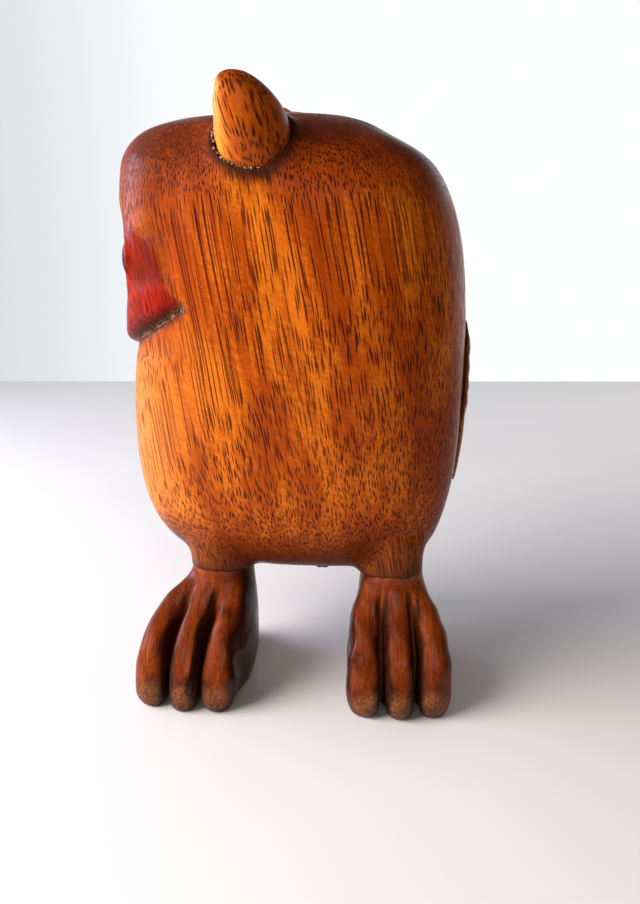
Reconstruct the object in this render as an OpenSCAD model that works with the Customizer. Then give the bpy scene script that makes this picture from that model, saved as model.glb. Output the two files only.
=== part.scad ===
// Carved wooden owl, standing, with its head turned a quarter turn to its right.
// Millimetres, +Z up. The breast and the toes point along -Y and the face looks along -X.
// The origin is at the middle of the footprint, on the surface that the soles rest on.

/* [Body block] */
// Width of the block from flank to flank
body_w = 84; // [70:1:101]
// Depth of the block from breast to back
body_d = 60; // [50:1:72]
// Height of the block from its underside to the crown
body_h = 110.5; // [92:0.5:133]
// Height of the underside above the soles
leg_h = 29.5; // [26:0.5:34]
// How square the block's level sections are, 2 is an ellipse
section_power = 2.6; // [2.2:0.1:3.4]

/* [Face] */
// How far the face stands proud of the breast
face_raise = 2.6; // [1:0.1:3]
// Height of the chin above the underside, in the middle of the face
chin_h = 55; // [50:0.5:60]
// Rise of the face's lower edge from the chin to its outer end
chin_rise = 12; // [6:0.5:16]
// Height of the eyes above the underside
eye_h = 77; // [74:0.5:81]
// Distance between the eyes' centres
eye_gap = 27; // [25:0.5:30]
// Radius of the shallow dish round each eye
dish_r = 12.5; // [11:0.5:13]
// Depth of the dish
dish_depth = 2.2; // [1:0.1:2.6]

/* [Eyes and beak] */
// Radius of the inlaid iris disc
iris_r = 7; // [5.5:0.1:8]
// Thickness of the iris disc at its rim
iris_t = 3; // [2:0.1:4]
// Radius of the pupil bead
pupil_r = 3.6; // [2.5:0.1:4.4]
// Width of the beak where it leaves the face
beak_w = 9; // [7:0.5:10]
// Height of the beak
beak_h = 17; // [13:0.5:19]
// How far the beak stands out of the face
beak_out = 2.2; // [1.5:0.1:4]

/* [Ear tufts] */
// Radius of an ear tuft's round root
ear_r = 9.2; // [8:0.1:10]
// Length of the tuft above the bottom of its socket
ear_len = 23; // [20:0.5:27]
// Distance between the roots' centres, across the head
ear_gap = 38; // [34:0.5:40]
// Lean of the root outwards from upright, in degrees
ear_lean = 34; // [28:1:40]
// Depth of the root's socket
ear_socket = 5; // [4:0.5:7]

/* [Wings] */
// Length of a wing from shoulder to tip
wing_len = 49; // [42:0.5:54]
// Height of the left wing's shoulder above the underside
shoulder_h = 59; // [52:0.5:66]
// Distance of the wings' shoulders behind the block's middle
shoulder_back = 8.7; // [6:0.1:11]
// Width of a wing across its middle
wing_w = 27; // [22:0.5:30]
// Thickness of the long lower feathers
wing_t = 1.1; // [0.8:0.1:1.8]
// How far the short upper feathers lie above the long ones
covert_t = 0.6; // [0.4:0.1:1.2]

/* [Tail] */
// Height of the tail's tip above the soles
tail_h = 12; // [8:0.5:16]
// Width of the tail at its root
tail_w = 21; // [16:0.5:26]

/* [Feet] */
// Distance between the ankles' centres
foot_gap = 43.5; // [40:0.5:48]
// Radius of an ankle
ankle_r = 7.8; // [6.8:0.1:8.6]
// Height of the round tenon at the top of an ankle
tenon_h = 8; // [6:0.5:11]
// Width of a foot across its knuckles
foot_w = 25; // [22:0.5:28]
// Length of the left foot from heel to toe tips
foot_len = 39.5; // [34:0.5:47]
// How much further the right foot's toes reach
right_reach_extra = 2.6; // [0:0.1:4]
// Reach of the heel behind the ankle's centre
heel_reach = 17; // [14:0.5:20]
// Height of the foot at the knuckles
knuckle_h = 13; // [11:0.5:15]
// Angle at which the left foot turns outwards, in degrees
toe_out_left = 7; // [0:1:16]
// Angle at which the right foot turns outwards, in degrees
toe_out_right = 2; // [0:1:16]
// How far the left foot's toes sweep outwards from its ankle
toe_sweep_left = 1.0; // [0:0.1:3]
// How far the right foot's toes sweep outwards from its ankle
toe_sweep_right = 5.0; // [0:0.1:6]

/* [Dowels] */
// Radius of the ear dowels
ear_dowel_r = 2; // [1.5:0.1:2.5]
// Length of the ear dowels
ear_dowel_len = 16; // [12:0.5:20]
// Radius of the leg dowels
leg_dowel_r = 3; // [2.5:0.1:3.5]
// Length of the leg dowels
leg_dowel_len = 26; // [20:0.5:32]

/* [Fits] */
// Clearance round a dowel or a peg
peg_clear = 0.05; // [0.02:0.01:0.1]
// Clearance round a root or an inlay in its socket
socket_clear = 0.15; // [0.1:0.05:0.3]
// Gap at the end of a dowel, a peg or a tenon
end_gap = 0.2; // [0.1:0.05:0.4]
// Thickness of the glue line under a wing
glue_t = 0.2; // [0.15:0.05:0.3]

/* [Hidden] */

wood = [0.66, 0.33, 0.12];
dark_wood = [0.50, 0.22, 0.08];
dowel_wood = [0.80, 0.62, 0.40];
black = [0.06, 0.05, 0.05];
amber = [0.86, 0.58, 0.16];

around = 60;   // points round one level section of the block
steps = 3;     // rings from one key section to the next
round_fn = 64; // facets named for true circles

// Key sections of the block, from the underside to the crown: height as a share of body_h, then
// the left flank, the right flank and the depth as shares of their half sizes.
keys = [
    [0.000, -0.02, 0.14, 0.04],
    [0.001, -0.34, 0.46, 0.30],
    [0.012, -0.56, 0.70, 0.52],
    [0.045, -0.75, 0.84, 0.70],
    [0.110, -0.885, 0.92, 0.85],
    [0.200, -0.952, 0.975, 0.94],
    [0.310, -0.97, 1.00, 0.985],
    [0.420, -0.962, 1.01, 1.00],
    [0.490, -0.94, 1.01, 1.00],
    [0.550, -0.93, 1.01, 1.00],
    [0.620, -0.925, 1.00, 1.00],
    [0.720, -0.935, 0.975, 0.99],
    [0.820, -0.93, 0.905, 0.95],
    [0.900, -0.91, 0.775, 0.83],
    [0.950, -0.865, 0.555, 0.64],
    [0.975, -0.745, 0.42, 0.46],
    [0.992, -0.52, 0.22, 0.26],
    [1.000, -0.16, -0.04, 0.04]
];

eye_z = leg_h + eye_h;
toe_front = foot_len - heel_reach;    // reach of the left toe tips ahead of the ankle's centre
ankle_y = -body_d * 0.22;             // the ankles stand under the front of the block
feet_x = body_w * 0.052;              // the feet centre on the underside, not on the head
front_reach = toe_front + right_reach_extra - ankle_y;
back_reach = body_d / 2;
left_reach = -flank_left(eye_z) + face_raise + beak_out;
right_reach = flank_right(leg_h + 0.5 * body_h) + glue_t + wing_t + covert_t;
shift = [(left_reach - right_reach) / 2, (front_reach - back_reach) / 2, 0];

// Catmull-Rom interpolation of one key's values at a share t of the way to the next key.
function blend4(a, b, c, d, t) =
    0.5 * ((2 * b) + (c - a) * t + (2 * a - 5 * b + 4 * c - d) * t * t
           + (3 * b - a - 3 * c + d) * t * t * t);
function key(i) = keys[max(0, min(len(keys) - 1, i))];
function section(i, t) = blend4(key(i - 1), key(i), key(i + 1), key(i + 2), t);
function linear_key(share, i = 0) =
    i >= len(keys) - 2 || share < keys[i + 1][0] ? i : linear_key(share, i + 1);
function at_height(z) =
    let (share = (z - leg_h) / body_h, i = linear_key(share),
         t = (share - keys[i][0]) / (keys[i + 1][0] - keys[i][0]))
    section(i, max(0, min(1, t)));
function flank_left(z) = at_height(z)[1] * body_w / 2;
function flank_right(z) = at_height(z)[2] * body_w / 2;

function ramp(x) = let (t = max(0, min(1, x))) t * t * (3 - 2 * t);
function turned(a) = abs(((a % 360) + 360) % 360 - 180); // degrees away from the face's middle
function superellipse(a, hx, hy, n) =
    let (c = cos(a), s = sin(a),
         r = pow(pow(abs(c) / hx, n) + pow(abs(s) / hy, n), -1 / n))
    [r * c, r * s];

// The face stands proud between the chin line and the brow and dies away round the corners.
face_span = 43; // degrees from the middle of the face to where its edge ends
function chin_z(a) = leg_h + chin_h + chin_rise * pow(min(1, turned(a) / face_span), 1.4);
function raise(a, z) =
    face_raise * ramp((face_span + 4 - turned(a)) / 14)
    * ramp((z - chin_z(a)) / 1.6 + 0.5) * ramp((leg_h + 0.985 * body_h - z) / 10);

function ring_point(v, a) =
    let (z = leg_h + v[0] * body_h, hx = (v[2] - v[1]) * body_w / 4,
         cx = (v[2] + v[1]) * body_w / 4, hy = v[3] * body_d / 2,
         out = raise(a, z), p = superellipse(a, hx + out, hy + out * 0.4, section_power))
    [p[0] + cx, p[1], z];
rings = [for (i = [0 : len(keys) - 2], t = [0 : steps - 1]) section(i, t / steps),
         keys[len(keys) - 1]];

// Closed skin of a stack of rings that all have n points.
function stack_faces(rows, n) = concat(
    [[for (j = [0 : n - 1]) j]],
    [for (i = [0 : rows - 2], j = [0 : n - 1])
        let (k = (j + 1) % n) [i * n + j, (i + 1) * n + j, (i + 1) * n + k, i * n + k]],
    [[for (j = [n - 1 : -1 : 0]) (rows - 1) * n + j]]);
module stack(rows, n) {
    polyhedron(points = [for (r = rows) each r], faces = stack_faces(len(rows), n), convexity = 6);
}

// Closed skin of a sheet given as two grids of the same size, outer then inner.
function sheet_faces(rows, cols) = let (m = rows * cols) concat(
    [for (i = [0 : rows - 2], j = [0 : cols - 2])
        let (a = i * cols + j) [a, a + 1, a + cols + 1, a + cols]],
    [for (i = [0 : rows - 2], j = [0 : cols - 2])
        let (a = m + i * cols + j) [a + cols, a + cols + 1, a + 1, a]],
    [for (j = [0 : cols - 2]) [j, m + j, m + j + 1, j + 1]],
    [for (j = [0 : cols - 2])
        let (a = (rows - 1) * cols + j) [a + 1, m + a + 1, m + a, a]],
    [for (i = [0 : rows - 2])
        let (a = i * cols) [a + cols, m + a + cols, m + a, a]],
    [for (i = [0 : rows - 2])
        let (a = i * cols + cols - 1) [a, m + a, m + a + cols, a + cols]]);

// Where each ear root sits, and the direction of its axis. Side -1 is the head's left.
ear_x = -body_w * 0.056;
ear_z = leg_h + body_h * 0.897;
module at_ear(side) {
    translate([ear_x, side * ear_gap / 2, ear_z]) rotate([side * -ear_lean, 0, 0])
        translate([0, 0, -ear_socket]) children();
}

// Where each eye sits, on the face and square to it.
eye_turn = 15; // degrees that an eye looks outwards
face_x = flank_left(eye_z) - face_raise;
eye_x = face_x * 0.967;
module at_eye(side) {
    translate([eye_x, side * eye_gap / 2, eye_z]) rotate([0, 0, -side * eye_turn])
        rotate([0, -90, 0]) children();
}

beak_peg_r = 2.2;
beak_peg_len = 9;
module at_beak() {
    translate([face_x, 0, eye_z]) rotate([0, -90, 0]) children();
}

socket_top = leg_h + tenon_h;
module at_ankle(side) {
    translate([feet_x + side * foot_gap / 2, ankle_y, 0]) children();
}

// Tail sections from the tip to the root: share of the way up, then the half width, the middle
// and the half thickness as shares of the tail's width or of the block's half depth.
tail_keys = [
    [0.00, 0.12, 0.880, 0.050],
    [0.05, 0.21, 0.875, 0.080],
    [0.16, 0.31, 0.850, 0.107],
    [0.32, 0.43, 0.820, 0.140],
    [0.51, 0.50, 0.800, 0.173],
    [0.74, 0.47, 0.790, 0.195],
    [1.00, 0.30, 0.740, 0.150]
];
tail_top = leg_h + 0.31 * body_h;
tail_fn = 24;
module tail() {
    stack([for (k = tail_keys) [for (j = [0 : tail_fn - 1])
        let (p = superellipse(360 * j / tail_fn, k[1] * tail_w, k[3] * body_d / 2, 2.4))
        [feet_x + p[0], k[2] * body_d / 2 + p[1], tail_h + k[0] * (tail_top - tail_h)]]],
        tail_fn);
}

dish_ball = (dish_r * dish_r + dish_depth * dish_depth) / (2 * dish_depth);

module body_block() {
    color(wood) difference() {
        union() {
            stack([for (v = rings) [for (j = [0 : around - 1]) ring_point(v, 360 * j / around)]],
                  around);
            tail();
        }
        for (side = [-1, 1]) {
            at_ear(side) {
                cylinder(h = ear_len + ear_socket, r = ear_r + socket_clear, $fn = round_fn);
                translate([0, 0, -ear_dowel_len / 2])
                    cylinder(h = ear_dowel_len, r = ear_dowel_r + peg_clear, $fn = round_fn);
            }
            at_eye(side) {
                translate([0, 0, dish_ball - dish_depth]) sphere(r = dish_ball, $fn = 96);
                translate([0, 0, -dish_depth - iris_t])
                    cylinder(h = 4 * iris_t, r = iris_r + socket_clear, $fn = round_fn);
            }
            at_ankle(side) {
                cylinder(h = socket_top, r = ankle_r + socket_clear, $fn = round_fn);
                cylinder(h = socket_top + leg_dowel_len / 2, r = leg_dowel_r + peg_clear,
                         $fn = round_fn);
            }
        }
        at_beak() {
            translate([0, 0, -beak_peg_len])
                cylinder(h = 2 * beak_peg_len, r = beak_peg_r + peg_clear, $fn = round_fn);
            translate([-beak_h / 2 - socket_clear, -beak_w / 2 - socket_clear, beak_sink / 2])
                cube([beak_h + 2 * socket_clear, beak_w + 2 * socket_clear, beak_out]);
        }
    }
}

// Tuft rings: height above the socket floor, then half width, half thickness and the shift of
// the middle towards the face, all as shares of the root's radius.
tuft = [
    [0.00, 1.00, 1.00, 0.00],
    [0.22, 1.00, 1.00, 0.00],
    [0.40, 0.98, 0.96, 0.02],
    [0.56, 0.89, 0.85, 0.09],
    [0.70, 0.76, 0.71, 0.19],
    [0.82, 0.61, 0.56, 0.30],
    [0.91, 0.44, 0.40, 0.40],
    [0.97, 0.25, 0.23, 0.46],
    [1.00, 0.05, 0.05, 0.48]
];
tuft_fn = 32;
tuft_upright = 0.16; // how far the tuft bends back upright, as a share of its length
function tuft_ring(k, side) = [for (j = [0 : tuft_fn - 1])
    let (a = 360 * j / tuft_fn)
    [(k[1] * cos(a) - k[3]) * ear_r,
     k[2] * ear_r * sin(a) - side * tuft_upright * ear_len * pow(max(0, k[0] - 0.3), 1.6),
     k[0] * ear_len]];
module ear_tuft(side) {
    color(wood) at_ear(side) difference() {
        stack([for (k = tuft) tuft_ring(k, side)], tuft_fn);
        translate([0, 0, -ear_dowel_len / 2])
            cylinder(h = ear_dowel_len, r = ear_dowel_r + peg_clear, $fn = round_fn);
    }
}

// A round dowel with its ends chamfered.
module dowel(r, length) {
    chamfer = r / 5;
    color(dowel_wood) rotate_extrude($fn = round_fn)
        polygon([[0, 0], [r - chamfer, 0], [r, chamfer], [r, length - chamfer],
                 [r - chamfer, length], [0, length]]);
}
module ear_dowel(side) {
    at_ear(side) translate([0, 0, end_gap - ear_dowel_len / 2])
        dowel(ear_dowel_r, ear_dowel_len - 2 * end_gap);
}
module leg_dowel(side) {
    at_ankle(side) translate([0, 0, socket_top + end_gap - leg_dowel_len / 2])
        dowel(leg_dowel_r, leg_dowel_len - 2 * end_gap);
}

// Beak sections from tip to brow: share of the height, half width, reach out of the face.
beak_keys = [
    [-0.50, 0.07, 0.48],
    [-0.42, 0.20, 0.80],
    [-0.28, 0.36, 0.98],
    [-0.10, 0.47, 1.00],
    [0.10, 0.50, 0.92],
    [0.28, 0.42, 0.72],
    [0.42, 0.30, 0.45],
    [0.50, 0.10, 0.12]
];
beak_fn = 14;
beak_sink = 0.3; // gap between the beak's flat back and the face
function beak_ring(k) = [for (j = [0 : beak_fn])
    let (a = 180 * j / beak_fn)
    [k[0] * beak_h, k[1] * beak_w * cos(a), beak_sink + k[2] * beak_out * pow(sin(a), 0.8)]];
module beak() {
    color(black) at_beak() {
        stack([for (k = beak_keys) beak_ring(k)], beak_fn + 1);
        translate([0, 0, end_gap - beak_peg_len])
            cylinder(h = beak_peg_len + beak_out / 2, r = beak_peg_r, $fn = round_fn);
    }
}

// A disc with a low domed front and a round seat for the pupil.
iris_dome = 0.8;
pupil_dome = 1.1;
pupil_seat = 1.6;
module iris(side) {
    color(amber) at_eye(side) translate([0, 0, -dish_depth - iris_t]) difference() {
        intersection() {
            cylinder(h = iris_t + iris_dome, r = iris_r, $fn = round_fn);
            dome_r = (iris_r * iris_r + iris_dome * iris_dome) / (2 * iris_dome);
            translate([0, 0, iris_t + iris_dome - dome_r]) sphere(r = dome_r, $fn = 96);
        }
        translate([0, 0, iris_t + iris_dome - pupil_seat])
            cylinder(h = iris_t, r = pupil_r + peg_clear, $fn = round_fn);
    }
}
module pupil(side) {
    cap_r = (pupil_r * pupil_r + pupil_dome * pupil_dome) / (2 * pupil_dome);
    color(black) at_eye(side)
        translate([0, 0, iris_dome - dish_depth - pupil_seat]) intersection() {
            cylinder(h = pupil_seat + pupil_dome, r = pupil_r, $fn = round_fn);
            translate([0, 0, pupil_seat + pupil_dome - cap_r]) sphere(r = cap_r, $fn = 96);
        }
}

// A wing lies on the flank. u runs from its shoulder to its tip, v from its front edge to its back.
wing_rows = 26;
wing_cols = 11;
covert_end = 0.38; // share of the wing's length that the short feathers cover
function wing_half(u) = wing_w / 2 * pow(sin(180 * (0.10 + 0.86 * pow(u, 0.85))), 0.55);
function wing_mid(u) = shoulder_back + wing_w * 0.16 * u;
// The turned head's chin comes down over the right shoulder, so that wing starts below it.
shoulder_arch = 2.5; // rise of the shoulder's middle above its ends
chin_gap = 2.5;      // gap between the chin and the right shoulder
function wing_top(side) =
    leg_h + (side > 0 ? shoulder_h : min(shoulder_h, chin_h - shoulder_arch - chin_gap));
wing_tip = leg_h + shoulder_h - wing_len;
function wing_z(side, u, v) =
    wing_top(side) * (1 - u) + wing_tip * u + shoulder_arch * cos(90 * v) * (1 - u);
function on_flank(side, y, z, out) =
    let (k = at_height(z), hx = (k[2] - k[1]) * body_w / 4 + out,
         cx = (k[2] + k[1]) * body_w / 4, hy = k[3] * body_d / 2 + out)
    [cx + side * hx * pow(max(0.02, 1 - pow(min(0.99, abs(y) / hy), section_power)),
                          1 / section_power), y, z];
function feather_t(u, v) =
    wing_t + covert_t * ramp((covert_end + 0.03 * cos(540 * v) - u) / 0.03)
    - 0.25 * wing_t * ramp((u - 0.4) / 0.6);
function wing_grid(side, outer) = [for (i = [0 : wing_rows - 1], j = [0 : wing_cols - 1])
    let (u = i / (wing_rows - 1), v = 2 * j / (wing_cols - 1) - 1,
         y = wing_mid(u) + v * wing_half(u), z = wing_z(side, u, v),
         edge = 1 - 0.35 * pow(abs(v), 6))
    on_flank(side, y, z, glue_t + (outer ? feather_t(u, v) * edge : 0))];
module wing(side) {
    a = wing_grid(side, side > 0);
    b = wing_grid(side, side < 0);
    color(wood) polyhedron(points = concat(a, b), faces = sheet_faces(wing_rows, wing_cols),
                           convexity = 6);
}

// Heights on a foot run from 0 on the floor through 1 at the knuckles to 2 at the instep's top.
instep_gap = 1.4; // gap between the instep and the underside of the block
function foot_height(h) =
    h < 1 ? h * knuckle_h : knuckle_h + (h - 1) * (leg_h - instep_gap - knuckle_h);

// Toe sections from the ankle to the tip: share of the reach, share of the spread, height of
// the top and share of the width.
toe_keys = [
    [-0.20, 0.42, 1.73, 0.72],
    [0.00, 0.62, 2.00, 0.82],
    [0.22, 0.84, 1.98, 0.92],
    [0.42, 0.99, 1.76, 0.98],
    [0.62, 1.04, 1.48, 1.02],
    [0.78, 1.05, 1.20, 1.02],
    [0.90, 1.02, 0.90, 0.96],
    [0.965, 0.99, 0.58, 0.84],
    [0.99, 0.97, 0.34, 0.66],
    [1.00, 0.96, 0.20, 0.42]
];
toe_fn = 20;
outer_toe_short = 0.8; // how much less the outer toes reach than the middle one
toe_w = foot_w * 0.34;        // width of one toe, a little over its pitch
toe_pitch = foot_w * 0.315;   // distance between the middles of neighbouring toes
swept_by = 0.7;               // share of the reach at which a toe has swept out in full
sunk = 1.5;                   // depth below the floor to which the foot is made, then cut flat
function standing(x, y, w, top, n, fn) = [for (j = [0 : fn - 1])
    let (p = superellipse(360 * j / fn, w, (top + sunk) / 2, n))
    [x + p[0], y, (top - sunk) / 2 + p[1]]];
function toe_ring(k, i, reach, sweep) =
    standing(i * k[1] * toe_pitch + sweep * ramp(k[0] / swept_by), -k[0] * reach,
             k[3] * toe_w / 2, foot_height(k[2]), 2.3, toe_fn);
// Heel sections from the back to the instep: share of the heel's reach, half width as a share of
// the ankle's radius and height of the top.
heel_keys = [
    [-1.00, 0.20, 0.30],
    [-0.95, 0.33, 0.52],
    [-0.80, 0.47, 0.78],
    [-0.50, 0.62, 1.10],
    [-0.10, 0.84, 1.55],
    [0.24, 1.04, 1.65],
    [0.66, 1.14, 1.42],
    [0.90, 1.05, 1.09]
];
heel_fn = 28;
function heel_ring(k) = standing(0, -k[0] * heel_reach,
    k[1] * ankle_r, foot_height(k[2]), 2.4, heel_fn);
module foot(side) {
    sweep = side * (side > 0 ? toe_sweep_left : toe_sweep_right);
    front = toe_front + (side > 0 ? 0 : right_reach_extra);
    color(dark_wood) at_ankle(side) difference() {
        union() {
            rotate([0, 0, side * (side > 0 ? toe_out_left : toe_out_right)]) {
                for (i = [-1 : 1])
                    stack([for (k = toe_keys)
                        toe_ring(k, i, front - outer_toe_short * abs(i), sweep)], toe_fn);
                stack([for (k = heel_keys) heel_ring(k)], heel_fn);
            }
            translate([0, 0, knuckle_h / 2])
                cylinder(h = socket_top - end_gap - knuckle_h / 2, r = ankle_r, $fn = round_fn);
        }
        translate([0, 0, -foot_len]) cube(2 * foot_len, center = true);
        translate([0, 0, socket_top - leg_dowel_len / 2])
            cylinder(h = leg_dowel_len, r = leg_dowel_r + peg_clear, $fn = round_fn);
    }
}

translate(shift) {
    body_block();
    ear_tuft(-1);  // ear_tuft_left
    ear_tuft(1);  // ear_tuft_right
    ear_dowel(-1);  // ear_dowel_left
    ear_dowel(1);  // ear_dowel_right
    beak();
    iris(-1);  // iris_left
    iris(1);  // iris_right
    pupil(-1);  // pupil_left
    pupil(1);  // pupil_right
    wing(1);  // wing_left
    wing(-1);  // wing_right
    foot(1);  // foot_left
    foot(-1);  // foot_right
    leg_dowel(1);  // leg_dowel_left
    leg_dowel(-1);  // leg_dowel_right
}
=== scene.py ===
"""A carved hardwood owl on three-toed feet, its head turned a quarter turn to its right.

Solid forms are worked out as fields on a box of sample points, in millimetres: a field is
negative inside the wood and grows by about one for each millimetre outwards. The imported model
gives the block's flanks and depth, and the box of every other piece gives its place. A side of -1
or 1 is towards -Y or +Y on the head, and towards -X or +X on the body.
"""
import math

import bpy
import numpy as np
import openvdb
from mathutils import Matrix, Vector
from mathutils.bvhtree import BVHTree


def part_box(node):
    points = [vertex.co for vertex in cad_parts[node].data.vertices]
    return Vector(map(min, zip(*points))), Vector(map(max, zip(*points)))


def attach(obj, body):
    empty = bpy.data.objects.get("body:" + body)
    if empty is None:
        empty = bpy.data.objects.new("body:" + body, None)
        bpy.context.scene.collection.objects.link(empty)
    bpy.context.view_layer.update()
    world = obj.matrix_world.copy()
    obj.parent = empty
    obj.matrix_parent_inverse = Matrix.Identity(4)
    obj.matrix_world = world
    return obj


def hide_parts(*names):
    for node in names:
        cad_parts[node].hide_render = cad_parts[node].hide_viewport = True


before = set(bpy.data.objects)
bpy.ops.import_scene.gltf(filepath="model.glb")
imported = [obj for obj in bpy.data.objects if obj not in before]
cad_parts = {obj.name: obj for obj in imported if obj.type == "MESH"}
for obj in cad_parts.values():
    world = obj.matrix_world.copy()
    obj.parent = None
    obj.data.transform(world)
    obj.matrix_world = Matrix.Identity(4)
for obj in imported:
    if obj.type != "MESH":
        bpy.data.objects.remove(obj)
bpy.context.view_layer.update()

MM = 0.001


# ---------------------------------------------------------------- places taken from the frame

def box_mm(packed):
    """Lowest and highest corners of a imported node, in millimetres."""
    low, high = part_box(packed)
    return np.array(low) / MM, np.array(high) / MM


def middle_mm(packed):
    """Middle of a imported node's box, in millimetres."""
    low, high = box_mm(packed)
    return (low + high) / 2


BLOCK_LOW, BLOCK_HIGH = box_mm("body_block")
MID_X, MID_Y, _ = middle_mm("body_block")
CROWN = BLOCK_HIGH[2]

BLOCK_POWER = 2.6      # squareness of the block's level sections
SLICE = 0.2            # height between the block's measured sections
FACE_RAISE = 2.6       # how far the face stands proud of the breast
FACE_SPAN = 48.0       # degrees from the middle of the face to the end of its lower edge
CHIN_RISE = 12.0       # rise of the face's lower edge from the chin to its end
CHIN_HEIGHT = 55.0     # chin above the block's underside
FACE_TOP = 108.8       # where the raised face dies away, above the underside
EYE_TURN = math.radians(15.0)


def ramp(x):
    """A smooth step from 0 to 1."""
    t = np.clip(x, 0, 1)
    return t * t * (3 - 2 * t)


def faces_of(packed):
    """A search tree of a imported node's faces, in metres."""
    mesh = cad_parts[packed].data
    return BVHTree.FromPolygons([v.co for v in mesh.vertices], [p.vertices for p in mesh.polygons])


def chin_line(turned):
    """Height of the face's lower edge above the underside, by the angle from the face's middle."""
    return CHIN_HEIGHT + CHIN_RISE * np.minimum(1, turned / FACE_SPAN) ** 1.4


def face_stand(turned, above):
    """How far the face stands proud, by the angle from its middle and the height above the underside."""
    return (FACE_RAISE * ramp((FACE_SPAN + 4 - turned) / 14)
            * ramp((above - chin_line(turned)) / 1.2 + 0.5) * ramp((FACE_TOP - above) / 10))


def measure_block():
    """Height, left flank, right flank and half depth of the block without its raised face."""
    tree = faces_of("body_block")
    upward = tree.ray_cast(Vector((MID_X * MM, MID_Y * MM, 0)), Vector((0, 0, 1)))[0]
    underside = upward.z / MM
    beak_z = middle_mm("beak")[2]
    socket_z = box_mm("ear_tuft_left")[0][2] - 1
    rows = []
    for z in np.arange(underside + 0.02, CROWN - 0.02, SLICE):
        if abs(z - beak_z) < 3.2:  # the beak's own bore is there
            continue
        left = tree.ray_cast(Vector((-0.2, MID_Y * MM, z * MM)), Vector((1, 0, 0)))[0]
        right = tree.ray_cast(Vector((0.2, MID_Y * MM, z * MM)), Vector((-1, 0, 0)))[0]
        if left is None or right is None:
            continue
        share = 0.62 if z > socket_z else 0.0  # past the ear sockets
        across = (left.x + right.x) / 2 + share * (right.x - left.x) / 2
        front = tree.ray_cast(Vector((across, -0.2, z * MM)), Vector((0, 1, 0)))[0]
        if front is not None:
            depth = (MID_Y - front.y / MM) / (1 - share ** BLOCK_POWER) ** (1 / BLOCK_POWER)
            rows.append((z, left.x / MM, right.x / MM, depth))
    rows = np.array(rows)
    rows[:, 1] += face_stand(np.zeros(len(rows)), rows[:, 0] - underside)
    heights = np.arange(rows[0, 0], rows[-1, 0], SLICE)
    sections = [heights]
    reach = 10  # sections on each side that the smoothing takes in
    kernel = np.exp(-np.linspace(-2, 2, 2 * reach + 1) ** 2)
    kernel /= kernel.sum()
    inner = ramp((heights - underside - 2) / 4) * ramp((CROWN - 2 - heights) / 4)
    for column in (1, 2, 3):
        values = np.interp(heights, rows[:, 0], rows[:, column])
        smooth = np.convolve(np.pad(values, reach, mode="edge"), kernel, mode="valid")
        sections.append(values + inner * (smooth - values))
    return underside, np.array(sections)


UNDERSIDE, BLOCK = measure_block()


def block_at(z):
    """Middle, half width and half depth of the block at a height."""
    left, right, half_depth = (np.interp(z, BLOCK[0], BLOCK[k]) for k in (1, 2, 3))
    return (left + right) / 2, (right - left) / 2, half_depth


# ---------------------------------------------------------------- carving with fields

class Space:
    """A box of sample points, in millimetres."""

    def __init__(self, low, high, step):
        """The box's lowest and highest corners, and the distance between samples."""
        self.low, self.step = np.array(low, float), step
        axes = [np.arange(a, b + step, step) for a, b in zip(low, high)]
        self.x, self.y, self.z = np.meshgrid(*axes, indexing="ij", sparse=True)

    def read(self, field, points):
        """Values of a field at any points, mixed from the eight nearest samples."""
        place = (points - self.low) / self.step
        last = np.array(field.shape) - 2
        cell = np.clip(np.floor(place).astype(int), 0, last)
        part = np.clip(place - cell, 0, 1)
        total = np.zeros(len(points))
        for corner in range(8):
            side = np.array([corner & 1, corner >> 1 & 1, corner >> 2 & 1])
            share = np.prod(np.where(side, part, 1 - part), axis=1)
            total += share * field[tuple((cell + side).T)]
        return total


def as_distance(space, field):
    """Rescales a field so that it grows by about one for each millimetre."""
    slope = np.sqrt(sum(g * g for g in np.gradient(field, space.step)))
    return field / np.maximum(slope, 0.05)


def join(a, b, blend):
    """Two solids made one, with a rounded crease of this size between them."""
    share = np.clip(0.5 + 0.5 * (b - a) / blend, 0, 1)
    return b + (a - b) * share - blend * share * (1 - share)


def cut(a, b, blend):
    """The first solid with the second taken out of it."""
    return -join(-a, b, blend)


def both(a, b, blend):
    """The part that two solids share, with a rounded edge of this size."""
    return -join(-a, -b, blend)


def soften(field, passes):
    """Sands a field's edges, a little more with each pass."""
    for _ in range(passes):
        for axis in range(3):
            field = (np.roll(field, 1, axis) + 2 * field + np.roll(field, -1, axis)) / 4
    return field


def distance_from(space, centre):
    """Distance of every sample from a point."""
    return np.sqrt((space.x - centre[0]) ** 2 + (space.y - centre[1]) ** 2
                   + (space.z - centre[2]) ** 2)


def distance_along(space, start, way):
    """How far every sample lies from a point in this direction."""
    return ((space.x - start[0]) * way[0] + (space.y - start[1]) * way[1]
            + (space.z - start[2]) * way[2])


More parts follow.
